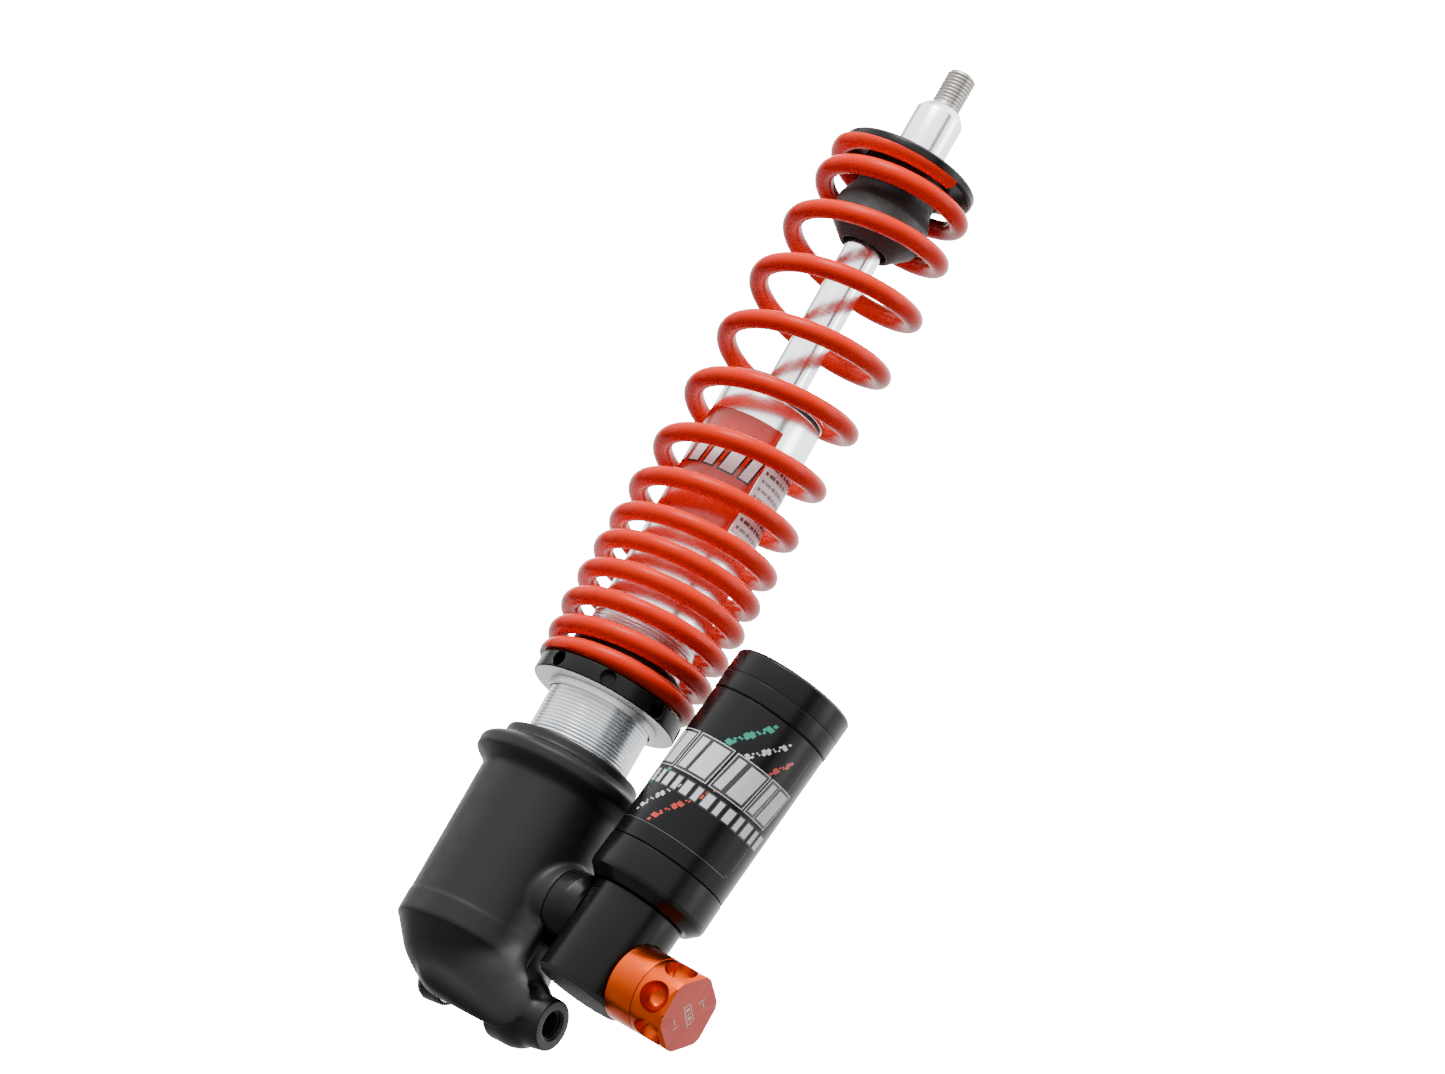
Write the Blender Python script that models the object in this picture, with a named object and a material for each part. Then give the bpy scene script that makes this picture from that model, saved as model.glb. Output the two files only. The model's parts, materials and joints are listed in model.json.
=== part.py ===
"""Rear shock absorber of a classic motor scooter: coil-over damper with a piggyback reservoir.

The origin is where the damper's axis crosses the lower bolt's axis. +Z runs up the damper to
the top stud, and +X runs along the lower bolt towards the side that carries the reservoir.
Lengths below are in millimetres; MM turns them into metres.
"""
import math

import bmesh
import bpy
from mathutils import Vector

MM = 0.001
GAP = 0.3                    # clearance left between neighbouring pieces

# ---- driving dimensions -------------------------------------------------------------------
SHOULDER_Z = 333.7           # lower bolt axis to the top shoulder: the shock's fitted length
STUD_LENGTH = 14.3           # thread standing above the shoulder
STUD_RADIUS = 5.0            # M10

ROD_RADIUS = 6.5
ROD_SHANK_RADIUS = 5.0       # turned-down end that carries the plate and the top spacer
ROD_LOWER_RADIUS = 4.0       # turned-down end that carries the piston
ROD_TOP_Z = 307.2
ROD_SHOULDER_Z = 181.0       # lower shoulder, which the piston stack is clamped against

SPACER_RADIUS = 8.4
PLATE_TOP_Z = 311.5
PLATE_THICKNESS = 4.0
PLATE_RADIUS = 23.7

BUMP_RADIUS = 16.2
BUMP_BOTTOM_Z = 278.2

TUBE_RADIUS = 17.5
TUBE_BORE = 14.5
TUBE_TOP_Z = 215.0
TUBE_BOTTOM_Z = 45.7
THREAD_CREST = 17.7
THREAD_ROOT = 17.0
THREAD_TOP_Z = 133.0
GLAND_TOP_Z = 218.6
WIPER_RADIUS = 16.2
WIPER_TOP_Z = 223.5

COLLAR_RADIUS = 25.25
COLLAR_BOTTOM_Z = 102.2
COLLAR_TOP_Z = 108.2
SEAT_TOP_Z = 119.0
SPANNER_HOLES = 8
SPANNER_HOLE_RADIUS = 2.6

WIRE_RADIUS = 3.25
SPRING_BOTTOM_Z = 108.5
SPRING_TOP_Z = PLATE_TOP_Z - PLATE_THICKNESS - GAP
SPRING_START = math.radians(215.0)       # direction of turn 0, from +X towards +Y
COIL_RADIUS = 25.5           # mean radius of the working coils
COIL_TOP_RADIUS = 23.0       # the coils close in towards the top plate
COIL_BOTTOM_RADIUS = 23.6
SPRING_COURSE = (            # turn and height of the wire's centre: close coils, then open ones
    (-0.25, 109.9), (0.0, 110.8), (0.25, 111.75), (0.5, 113.0), (0.75, 114.9), (1.0, 117.3),
    (2.0, 127.4), (3.0, 138.1), (4.0, 148.9), (5.0, 159.3), (6.0, 172.4), (7.0, 188.8),
    (8.0, 210.0), (9.0, 232.1), (10.0, 254.2), (11.0, 275.9), (12.0, 295.2), (12.5, 301.0),
    (13.0, 304.8), (13.35, 305.8))

HOUSING_RADIUS = 24.5
HOUSING_TOP_Z = 82.4
HOUSING_SHOULDER_Z = 12.7
BORE_FLOOR_Z = 24.0
RIM_RADIUS = 29.2
PORT_Z = 36.0
PAD_RADIUS = 15.5
PAD_X = 26.5
SLOT_X = (1.5, 23.5)         # clevis slot between the two ears
SLOT_TOP_Z = 15.0
SLOT_FRONT_Y = -9.0
EAR_LEFT_X = -5.5
EAR_RIGHT_X = 36.0
EAR_RADIUS = 11.3
BOSS_X = 43.6
BOSS_RADIUS = 8.3
BOLT_HOLE_RADIUS = 4.4

RES_X = 45.84                # centre of the reservoir head's lower face
RES_Z = 12.41
RES_TILT = math.radians(7.0)
HEAD_RADIUS = 15.65
HEAD_TOP = 33.7
BASE_RADIUS = 21.4
BASE_TOP = 48.0
RES_RADIUS = 20.6
RES_BORE = 17.5
RES_TUBE_TOP = 104.0
CAP_RADIUS = 20.9
CAP_TOP = 118.8
KNOB_HEIGHT = 11.8           # of the adjusters' axis above the head's lower face
KNOB_RADIUS = 12.85
KNOB_START = 14.3
KNOB_SPLIT = 25.1
KNOB_END = 38.2
KNOB_PITS = 6                # facets round the outer knob's end, each with a finger pit
FACET_PLACE = (11.15, 36.5)      # radius and height of a facet's middle
PIT_PLACE = (12.0, 34.2)
PIT_LEAN = math.radians(60.0)    # from the knobs' axis
PIT_OUTLINE = [(0, -6.0), (2.0, -6.0), (5.9, 0), (5.9, 7.0), (0, 7.0)]

RING = 32                    # segments round large pieces
SMALL = 20                   # segments round small pieces


# ---- helpers ------------------------------------------------------------------------------
def clear_scene():
    """Start from an empty scene."""
    for obj in list(bpy.data.objects):
        bpy.data.objects.remove(obj, do_unlink=True)


def material(name, colour, roughness, metallic):
    """A Principled material, made once and then shared."""
    found = bpy.data.materials.get(name)
    if found:
        return found
    made = bpy.data.materials.new(name)
    made.use_nodes = True
    shader = made.node_tree.nodes["Principled BSDF"]
    shader.inputs["Base Color"].default_value = (*colour, 1.0)
    shader.inputs["Roughness"].default_value = roughness
    shader.inputs["Metallic"].default_value = metallic
    made.diffuse_color = (*colour, 1.0)
    return made


def finish_of(kind):
    """The finishes used on the object."""
    finishes = {
        "black_casting": ((0.022, 0.022, 0.024), 0.5, 0.0),
        "black_anodised": ((0.02, 0.02, 0.022), 0.35, 0.6),
        "bright_alloy": ((0.8, 0.8, 0.81), 0.28, 1.0),
        "chrome": ((0.75, 0.75, 0.76), 0.06, 1.0),
        "steel": ((0.45, 0.44, 0.42), 0.4, 1.0),
        "red_powder": ((0.6, 0.035, 0.015), 0.3, 0.0),
        "orange_anodised": ((0.9, 0.2, 0.03), 0.3, 0.8),
        "rubber": ((0.012, 0.012, 0.012), 0.7, 0.0),
        "black_plastic": ((0.02, 0.02, 0.02), 0.45, 0.0),
        "bronze": ((0.5, 0.33, 0.14), 0.4, 1.0),
    }
    return material(kind, *finishes[kind])


def new_object(name, mesh, finish, parent=None):
    """Link a mesh as a named object with its finish."""
    obj = bpy.data.objects.new(name, mesh)
    bpy.context.scene.collection.objects.link(obj)
    if finish:
        mesh.materials.append(finish_of(finish))
    if parent:
        obj.parent = parent
    return obj


def empty(name, location, rotation=(0.0, 0.0, 0.0), parent=None):
    """A guide that holds moving pieces on their joint's axis."""
    obj = bpy.data.objects.new(name, None)
    obj.location = Vector(location) * MM
    obj.rotation_euler = rotation
    obj.parent = parent
    bpy.context.scene.collection.objects.link(obj)
    return obj


def to_mesh(name, bm, smooth_angle=35.0):
    """Turn a bmesh in millimetres into a mesh in metres, shaded smooth but for its edges."""
    bmesh.ops.remove_doubles(bm, verts=bm.verts, dist=0.001)
    bmesh.ops.dissolve_degenerate(bm, edges=bm.edges, dist=0.0001)
    bmesh.ops.recalc_face_normals(bm, faces=bm.faces)
    bmesh.ops.scale(bm, vec=(MM, MM, MM), verts=bm.verts)
    mesh = bpy.data.meshes.new(name)
    bm.to_mesh(mesh)
    bm.free()
    mesh.shade_smooth()
    mesh.set_sharp_from_angle(angle=math.radians(smooth_angle))
    return mesh


def turned_mesh(name, profile, segments=RING):
    """Spin a closed outline of (radius, height) points about Z."""
    bm = bmesh.new()
    verts = [bm.verts.new((radius, 0.0, height)) for radius, height in profile]
    edges = [bm.edges.new((verts[i], verts[(i + 1) % len(verts)])) for i in range(len(verts))]
    bmesh.ops.spin(bm, geom=verts + edges, cent=(0, 0, 0), axis=(0, 0, 1),
                   angle=2 * math.pi, steps=segments, use_merge=True)
    return to_mesh(name, bm)


def turned(name, profile, finish, parent=None, segments=RING):
    """A turned piece on its parent's Z axis."""
    return new_object(name, turned_mesh(name, profile, segments), finish, parent)


def sleeve(inner, outer, low, high, chamfer=0.0):
    """Outline of a plain ring, with its outer edges chamfered if asked."""
    if chamfer:
        return [(inner, low), (outer - chamfer, low), (outer, low + chamfer),
                (outer, high - chamfer), (outer - chamfer, high), (inner, high)]
    return [(inner, low), (outer, low), (outer, high), (inner, high)]


def rod_mesh(name, radius, low, high, segments=SMALL):
    """A plain round bar along Z."""
    return turned_mesh(name, [(0, low), (radius, low), (radius, high), (0, high)], segments)


def along_x(obj, x, y, z):
    """Lay a piece that was modelled along Z on the X axis, starting at the given point."""
    obj.rotation_euler = (0.0, math.pi / 2, 0.0)
    obj.location = Vector((x, y, z)) * MM
    return obj


def box_mesh(name, low, high):
    """A block between two corners."""
    bm = bmesh.new()
    bmesh.ops.create_cube(bm, size=1.0)
    size = Vector(high) - Vector(low)
    middle = (Vector(high) + Vector(low)) / 2
    bmesh.ops.scale(bm, vec=size, verts=bm.verts)
    bmesh.ops.translate(bm, vec=middle, verts=bm.verts)
    return to_mesh(name, bm)


def helper(obj):
    """Mark an object as a cutter or an added lump that isn't a piece itself."""
    obj.hide_render = True
    obj.hide_viewport = False
    obj.display_type = "WIRE"
    return obj


def boolean(target, tool, operation):
    """Cut or join with an exact Boolean that stays on the object."""
    helper(tool)
    modifier = target.modifiers.new(operation.lower() + "_" + tool.name, "BOOLEAN")
    modifier.operation = operation
    modifier.solver = "EXACT"
    modifier.object = tool
    return target


def cut(target, tool):
    return boolean(target, tool, "DIFFERENCE")


def join(target, tool):
    return boolean(target, tool, "UNION")


# ---- lower housing ------------------------------------------------------------------------
def housing_outline():
    """Outer wall, flared rim and top lip of the cast housing, before it is bored."""
    lip = HOUSING_RADIUS - 1.2
    return [(0, HOUSING_SHOULDER_Z), (HOUSING_RADIUS - 1.5, HOUSING_SHOULDER_Z),
            (HOUSING_RADIUS, HOUSING_SHOULDER_Z + 2.0), (HOUSING_RADIUS, 66.0),
            (HOUSING_RADIUS + 1.2, 69.0), (RIM_RADIUS - 1.0, 70.3), (RIM_RADIUS, 72.0),
            (RIM_RADIUS, 75.0), (RIM_RADIUS - 1.0, 76.4), (lip + 0.8, 78.4), (lip, 80.0),
            (lip, HOUSING_TOP_Z), (0, HOUSING_TOP_Z)]


def clevis_lobe():
    """The rounded lower end: the hull of a round bottom and of the threaded ear."""
    bm = bmesh.new()
    ball_radius = 20.0
    ball_z = 13.0
    for ring in range(7):
        tilt = math.radians(-90 + 15 * ring)
        for step in range(24):
            turn = 2 * math.pi * step / 24
            flat = ball_radius * math.cos(tilt)
            bm.verts.new((flat * math.cos(turn), flat * math.sin(turn),
                          ball_z + ball_radius * math.sin(tilt)))
    for step in range(24):
        turn = 2 * math.pi * step / 24
        bm.verts.new((ball_radius * math.cos(turn), ball_radius * math.sin(turn), 16.5))
        for x, radius in ((30.0, EAR_RADIUS), (EAR_RIGHT_X - 1.2, EAR_RADIUS),
                          (EAR_RIGHT_X, EAR_RADIUS - 1.2)):
            bm.verts.new((x, radius * math.cos(turn), radius * math.sin(turn)))
    bmesh.ops.remove_doubles(bm, verts=bm.verts, dist=0.001)
    hull = bmesh.ops.convex_hull(bm, input=bm.verts)
    bmesh.ops.delete(bm, geom=list({item for item in hull["geom_interior"]}), context="VERTS")
    return new_object("lobe", to_mesh("lobe", bm), None)


def lower_casting():
    """Housing, clevis ears, threaded boss and the pad that carries the reservoir."""
    body = turned("lower_casting", housing_outline(), "black_casting")

    lobe = clevis_lobe()
    behind = SLOT_FRONT_Y
    cut(lobe, new_object("lobe_side", box_mesh("lobe_side", (-40, behind, -40),
                                               (EAR_LEFT_X, 40, 12.0)), None))
    cut(lobe, new_object("lobe_back", box_mesh("lobe_back", (-39, EAR_RADIUS + 0.1, -39),
                                               (39, 41, 12.2)), None))
    join(body, lobe)

    ear = new_object("left_ear", rod_mesh("left_ear", 8.6, 0, 12.0), None)
    join(body, along_x(ear, EAR_LEFT_X, 0, 0))
    rib = new_object("rib", box_mesh("rib", (12, -11, 6), (28.4, 11, 25.5)), None)
    bevel = rib.modifiers.new("rounded", "BEVEL")
    bevel.width = 3.0 * MM
    bevel.segments = 2
    join(body, rib)
    pad = new_object("pad", rod_mesh("pad", PAD_RADIUS, 0, PAD_X - 10, 28), None)
    join(body, along_x(pad, 10, 0, PORT_Z))
    boss = new_object("boss", turned_mesh("boss", [
        (0, 0), (BOSS_RADIUS + 1.4, 0), (BOSS_RADIUS, 11.0), (BOSS_RADIUS, BOSS_X - 31.0),
        (BOSS_RADIUS - 0.8, BOSS_X - 30.0), (0, BOSS_X - 30.0)], 24), None)
    join(body, along_x(boss, 30, 0, 0))

    seat = TUBE_BOTTOM_Z - 1.8
    cut(body, new_object("bore", turned_mesh("bore", [
        (0, BORE_FLOOR_Z), (TUBE_BORE, BORE_FLOOR_Z), (TUBE_BORE, seat),
        (THREAD_CREST + GAP, seat), (THREAD_CREST + GAP, 90), (0, 90)]), None))
    slot = new_object("slot", box_mesh("slot", (SLOT_X[0], SLOT_FRONT_Y, -41),
                                       (SLOT_X[1], 42, SLOT_TOP_Z)), None)
    cut(body, slot)
    plain = new_object("plain_hole", rod_mesh("plain_hole", 6.3, 0, 30), None)
    cut(body, along_x(plain, -20, 0, 0))
    tapped = new_object("tapped_hole", rod_mesh("tapped_hole", BOLT_HOLE_RADIUS, 0, 50), None)
    cut(body, along_x(tapped, 15, 0, 0))
    port = new_object("port", rod_mesh("port", 5.3, 0, 30), None)
    cut(body, along_x(port, 10, 0, PORT_Z))
    return body


def clevis_bush():
    """Flanged steel bush in the plain ear."""
    flange = 1.5
    length = SLOT_X[0] - EAR_LEFT_X + flange
    bush = turned("clevis_bush", [(5.0, 0), (7.5, 0), (7.5, flange - GAP), (6.0, flange - GAP),
                                  (6.0, length), (5.0, length)], "steel", segments=SMALL)
    return along_x(bush, EAR_LEFT_X - flange, 0, 0)


# ---- damper body --------------------------------------------------------------------------
def damper_tube():
    """Outer tube: plain above, threaded for the preload collar below."""
    turned("damper_tube", [
        (TUBE_BORE, TUBE_BOTTOM_Z), (THREAD_CREST - 0.6, TUBE_BOTTOM_Z),
        (THREAD_CREST, TUBE_BOTTOM_Z + 0.6), (THREAD_CREST, THREAD_TOP_Z),
        (TUBE_RADIUS, THREAD_TOP_Z + 0.6), (TUBE_RADIUS, TUBE_TOP_Z - 0.4),
        (TUBE_RADIUS - 0.4, TUBE_TOP_Z), (TUBE_BORE, TUBE_TOP_Z)], "bright_alloy")
    turned("tube_base_seal", sleeve(TUBE_BORE + 0.6, THREAD_CREST - 0.4, TUBE_BOTTOM_Z - 1.5,
                                    TUBE_BOTTOM_Z - GAP), "rubber", segments=SMALL)


def gland():
    """Seal head that closes the tube, with its seals and the rod's guide bush."""
    spigot = TUBE_BORE - GAP
    low = 190.0
    bore = ROD_RADIUS + GAP
    turned("seal_head", [
        (bore, low + 8.2), (10.8, low + 8.2), (10.8, low), (spigot, low),
        (spigot, TUBE_TOP_Z + 1.3), (TUBE_RADIUS, TUBE_TOP_Z + 1.3),
        (TUBE_RADIUS, GLAND_TOP_Z - 1.0), (TUBE_RADIUS - 1.0, GLAND_TOP_Z),
        (bore, GLAND_TOP_Z), (bore, low + 23.0), (8.6, low + 23.0), (8.6, low + 10.0),
        (bore, low + 10.0)], "bright_alloy")
    turned("gland_o_ring", sleeve(spigot + GAP + 0.2, TUBE_RADIUS - 0.6, TUBE_TOP_Z + GAP,
                                  TUBE_TOP_Z + 1.0), "rubber", segments=RING)
    turned("rod_guide_bush", sleeve(bore, 8.3, low + 10.3, low + 22.7), "bronze", segments=SMALL)
    turned("rod_oil_seal", [
        (bore, low + 4.0), (7.6, low + 0.6), (10.5, low + 0.6), (10.5, low + 7.9),
        (bore, low + 7.9)], "rubber", segments=SMALL)
    turned("wiper_cap", [
        (bore, GLAND_TOP_Z + 2.0), (9.0, GLAND_TOP_Z + GAP), (WIPER_RADIUS, GLAND_TOP_Z + GAP),
        (WIPER_RADIUS, WIPER_TOP_Z - 1.2), (WIPER_RADIUS - 1.4, WIPER_TOP_Z),
        (bore + 1.2, WIPER_TOP_Z), (bore, WIPER_TOP_Z - 1.0)], "rubber")


# ---- preload collar and spring seat --------------------------------------------------------
def preload_collar(parent):
    """Threaded ring with radial spanner holes, and the grub screw that locks it."""
    bore = THREAD_CREST + GAP
    ring = turned("preload_collar", [
        (bore, COLLAR_BOTTOM_Z - 2.2), (bore + 1.2, COLLAR_BOTTOM_Z - 2.2),
        (bore + 1.2, COLLAR_BOTTOM_Z), (COLLAR_RADIUS - 0.6, COLLAR_BOTTOM_Z),
        (COLLAR_RADIUS, COLLAR_BOTTOM_Z + 0.6), (COLLAR_RADIUS, COLLAR_TOP_Z - 0.5),
        (COLLAR_RADIUS - 0.5, COLLAR_TOP_Z), (21.6, COLLAR_TOP_Z), (21.6, COLLAR_TOP_Z - 2.0),
        (bore, COLLAR_TOP_Z - 2.0)], "black_anodised", parent, 40)
    middle = (COLLAR_BOTTOM_Z + COLLAR_TOP_Z) / 2
    for number in range(SPANNER_HOLES):
        hole = new_object("spanner_hole_%d" % number,
                          rod_mesh("spanner_hole", SPANNER_HOLE_RADIUS, 22.0, 30.0, 12), None,
                          parent)
        hole.rotation_euler = (0.0, math.pi / 2, math.radians(-17.0) + number * math.pi / 4)
        hole.location = (0.0, 0.0, middle * MM)
        cut(ring, hole)
    screw_hole = new_object("screw_hole", rod_mesh("screw_hole", 1.6, bore - 3.0, 30.0, 10),
                            None, parent)
    screw = new_object("collar_grub_screw", rod_mesh("collar_grub_screw", 1.3, bore + 0.3, 24.6,
                                                     10), "steel", parent)
    for piece in (screw_hole, screw):
        piece.rotation_euler = (0.0, math.pi / 2, math.radians(140.5))
        piece.location = (0.0, 0.0, (COLLAR_BOTTOM_Z + 2.0) * MM)
    cut(ring, screw_hole)
    return ring


def spring_seat(parent):
    """Plastic seat that centres the spring and lets the collar turn under it."""
    bore = THREAD_CREST + GAP
    turned("spring_seat", [
        (bore, COLLAR_TOP_Z - 1.7), (21.3, COLLAR_TOP_Z - 1.7), (21.3, COLLAR_TOP_Z - 0.3),
        (19.4, COLLAR_TOP_Z - 0.1), (19.4, SEAT_TOP_Z - 0.8), (18.9, SEAT_TOP_Z),
        (bore, SEAT_TOP_Z)], "black_plastic", parent)


# ---- spring -------------------------------------------------------------------------------
def smooth(value):
    """Smooth step from 0 to 1."""
    value = min(max(value, 0.0), 1.0)
    return value * value * (3.0 - 2.0 * value)


def wire_height(turn):
    """Height of the wire's centre, from a smooth curve through the course's points."""
    course = SPRING_COURSE
    last = len(course) - 2
    index = max(i for i in range(last + 1) if course[i][0] <= turn or i == 0)
    slopes = []
    for end in (index, index + 1):
        before = course[max(end - 1, 0)]
        after = course[min(end + 1, last + 1)]
        slopes.append((after[1] - before[1]) / (after[0] - before[0]))
    (low_turn, low), (high_turn, high) = course[index], course[index + 1]
    span = high_turn - low_turn
    t = (turn - low_turn) / span
    return (low * (1 + 2 * t) * (1 - t) ** 2 + slopes[0] * span * t * (1 - t) ** 2
            + high * t * t * (3 - 2 * t) + slopes[1] * span * t * t * (t - 1))


def coil_radius(turn):
    """Mean radius of the coils, drawn in at both ends."""
    lower = (COIL_RADIUS - COIL_BOTTOM_RADIUS) * (1.0 - smooth(turn / 2.0))
    upper = (COIL_RADIUS - COIL_TOP_RADIUS) * smooth((turn - 10.2) / 2.2)
    return COIL_RADIUS - lower - upper


def wire_radius(height):
    """The wire is drawn down at both ends, so its end coils lie flat on their seats."""
    return min(WIRE_RADIUS, height - SPRING_BOTTOM_Z, SPRING_TOP_Z - height)


def coil_spring():
    """The spring: one wire swept along its coils."""
    sides = 8
    first = SPRING_COURSE[0][0]
    count = round((SPRING_COURSE[-1][0] - first) * 18)
    step = (SPRING_COURSE[-1][0] - first) / count
    bm = bmesh.new()
    rings = []
    for number in range(count + 1):
        turn = min(first + number * step, SPRING_COURSE[-1][0])
        angle = SPRING_START + 2 * math.pi * turn
        outward = Vector((math.cos(angle), math.sin(angle), 0.0))
        centre = outward * coil_radius(turn) + Vector((0.0, 0.0, wire_height(turn)))
        ring = []
        for side in range(sides):
            around = 2 * math.pi * (side + 0.5) / sides
            across = outward * math.cos(around) + Vector((0.0, 0.0, math.sin(around)))
            ring.append(bm.verts.new(centre + wire_radius(wire_height(turn)) * across))
        rings.append(ring)
    for low, high in zip(rings, rings[1:]):
        for side in range(sides):
            after = (side + 1) % sides
            bm.faces.new((low[side], low[after], high[after], high[side]))
    bm.faces.new(rings[0])
    bm.faces.new(rings[-1])
    return new_object("coil_spring", to_mesh("coil_spring", bm, 60), "red_powder")


# ---- rod assembly -------------------------------------------------------------------------
def piston_rod(parent):
    """Chromed rod, turned down at both ends."""
    end = ROD_SHOULDER_Z - 26.0
    turned("piston_rod", [
        (0, end), (ROD_LOWER_RADIUS - 0.6, end), (ROD_LOWER_RADIUS, end + 0.6),
        (ROD_LOWER_RADIUS, ROD_SHOULDER_Z), (ROD_RADIUS, ROD_SHOULDER_Z),
        (ROD_RADIUS, ROD_TOP_Z), (ROD_SHANK_RADIUS, ROD_TOP_Z),
        (ROD_SHANK_RADIUS, PLATE_TOP_Z + 8.0), (0, PLATE_TOP_Z + 8.0)], "chrome", parent, 24)


def piston_stack(parent):
    """Piston with its band, shims, washer, top-out bumper and nut, from the nut upwards."""
    bore = ROD_LOWER_RADIUS + GAP
    low = ROD_SHOULDER_Z - 16.3
    high = low + 12.0
    outer = TUBE_BORE - 0.6
    piston = turned("main_piston", [
        (bore, low), (outer, low), (outer, low + 2.6), (outer - 1.3, low + 2.6),
        (outer - 1.3, high - 2.6), (outer, high - 2.6), (outer, high), (bore, high)],
        "bright_alloy", parent)
    for number in range(6):
        turn = 2 * math.pi * number / 6
        port = new_object("piston_port_%d" % number,
                          rod_mesh("piston_port_%d" % number, 1.3, low - 2, high + 2, 8), None,
                          parent)
        port.location = (8.3 * math.cos(turn) * MM, 8.3 * math.sin(turn) * MM, 0.0)
        cut(piston, port)
    turned("piston_band", sleeve(outer - 1.0, TUBE_BORE - GAP, low + 2.9, high - 2.9),
           "bronze", parent)
    turned("compression_shims", [
        (bore, high + GAP), (11.0, high + GAP), (11.0, high + 1.2), (8.0, high + 1.8),
        (8.0, high + 2.4), (bore, high + 2.4)], "steel", parent, SMALL)
    turned("rebound_shims", [
        (bore, low - 2.4), (7.5, low - 2.4), (7.5, low - 1.6), (10.4, low - 1.0),
        (10.4, low - GAP), (bore, low - GAP)], "steel", parent, SMALL)
    turned("stop_washer", sleeve(bore, 9.6, ROD_SHOULDER_Z - 1.6, ROD_SHOULDER_Z - GAP),
           "steel", parent, SMALL)
    turned("top_out_bumper", sleeve(ROD_RADIUS + GAP, 10.6, ROD_SHOULDER_Z, 189.6, 0.8),
           "rubber", parent, SMALL)
    nut = turned("piston_nut", [(0, low - 8.0), (7.0, low - 8.0), (7.4, low - 7.4),
                                (7.4, low - 2.7), (0, low - 2.7)], "steel", parent, 6)
    cut(nut, new_object("nut_bore", rod_mesh("nut_bore", bore, low - 10.0, low, SMALL), None,
                        parent))


def top_mount(parent):
    """Bump stop, spring plate, alloy spacer and the stud that bolts to the frame."""
    plate_low = PLATE_TOP_Z - PLATE_THICKNESS
    bore = ROD_RADIUS + GAP
    top = plate_low - GAP
    turned("bump_stop", [
        (bore, BUMP_BOTTOM_Z + 3.0), (7.9, BUMP_BOTTOM_Z + 3.0), (7.9, BUMP_BOTTOM_Z),
        (8.9, BUMP_BOTTOM_Z), (15.2, 284.6), (BUMP_RADIUS, 286.5), (BUMP_RADIUS, 291.5),
        (15.0, 295.0), (13.6, 298.0), (13.2, 301.0), (15.0, 303.2), (15.0, top), (bore, top)],
        "rubber", parent)
    turned("upper_spring_plate", [
        (ROD_SHANK_RADIUS + GAP, plate_low), (PLATE_RADIUS - 0.8, plate_low),
        (PLATE_RADIUS, plate_low + 0.8), (PLATE_RADIUS, PLATE_TOP_Z - 1.2),
        (PLATE_RADIUS - 1.2, PLATE_TOP_Z), (ROD_SHANK_RADIUS + GAP, PLATE_TOP_Z)],
        "black_anodised", parent, 40)
    foot = PLATE_TOP_Z + GAP
    bore = ROD_SHANK_RADIUS + GAP
    turned("top_spacer", [
        (bore, foot), (SPACER_RADIUS, foot), (SPACER_RADIUS, SHOULDER_Z - 2.8),
        (SPACER_RADIUS - 2.0, SHOULDER_Z), (bore, SHOULDER_Z)], "bright_alloy", parent)
    turned("top_stud", [
        (0, PLATE_TOP_Z + 8.0 + GAP), (STUD_RADIUS - 0.1, PLATE_TOP_Z + 8.0 + GAP),
        (STUD_RADIUS - 0.1, SHOULDER_Z + STUD_LENGTH - 1.6),
        (STUD_RADIUS - 1.4, SHOULDER_Z + STUD_LENGTH), (0, SHOULDER_Z + STUD_LENGTH)],
        "steel", parent, 24)


# ---- reservoir ----------------------------------------------------------------------------
def reservoir_head(frame):
    """Valve housing under the reservoir, with its port boss, cavity and adjuster bore."""
    spigot = RES_BORE - GAP
    neck = 13.0
    head = turned("reservoir_head", [
        (0, 0), (HEAD_RADIUS - 1.5, 0), (HEAD_RADIUS, 1.5), (HEAD_RADIUS, HEAD_TOP - GAP),
        (neck, HEAD_TOP - GAP), (neck, BASE_TOP + GAP), (spigot, BASE_TOP + GAP),
        (spigot, BASE_TOP + 3.0), (spigot - 1.4, BASE_TOP + 3.0), (spigot - 1.4, BASE_TOP + 5.4),
        (spigot, BASE_TOP + 5.4), (spigot, BASE_TOP + 8.0), (9.0, BASE_TOP + 8.0), (9.0, 20.0),
        (3.0, 20.0), (3.0, 14.0), (0, 14.0)], "black_anodised", frame)
    boss = new_object("port_boss", rod_mesh("port_boss", 10.4, 0, 8.0, 24), None)
    join(head, along_x(boss, 31.0, 0, PORT_Z))
    port = new_object("head_port", rod_mesh("head_port", 5.3, 0, 16.0, 16), None)
    cut(head, along_x(port, 26.0, 0, PORT_Z))
    flat = new_object("knob_seat", rod_mesh("knob_seat", KNOB_RADIUS + 0.7, KNOB_START - GAP,
                                            KNOB_START + 6.0), None, frame)
    bore = new_object("cartridge_bore", rod_mesh("cartridge_bore", 6.3, -8.8,
                                                 KNOB_START + 7.0), None, frame)
    for tool in (flat, bore):
        tool.rotation_euler = (0.0, math.pi / 2, 0.0)
        tool.location = (0.0, 0.0, KNOB_HEIGHT * MM)
        cut(head, tool)
    turned("head_o_ring", sleeve(spigot - 1.1, spigot + 0.0, BASE_TOP + 3.3, BASE_TOP + 5.1),
           "rubber", frame)
    return head


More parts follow.
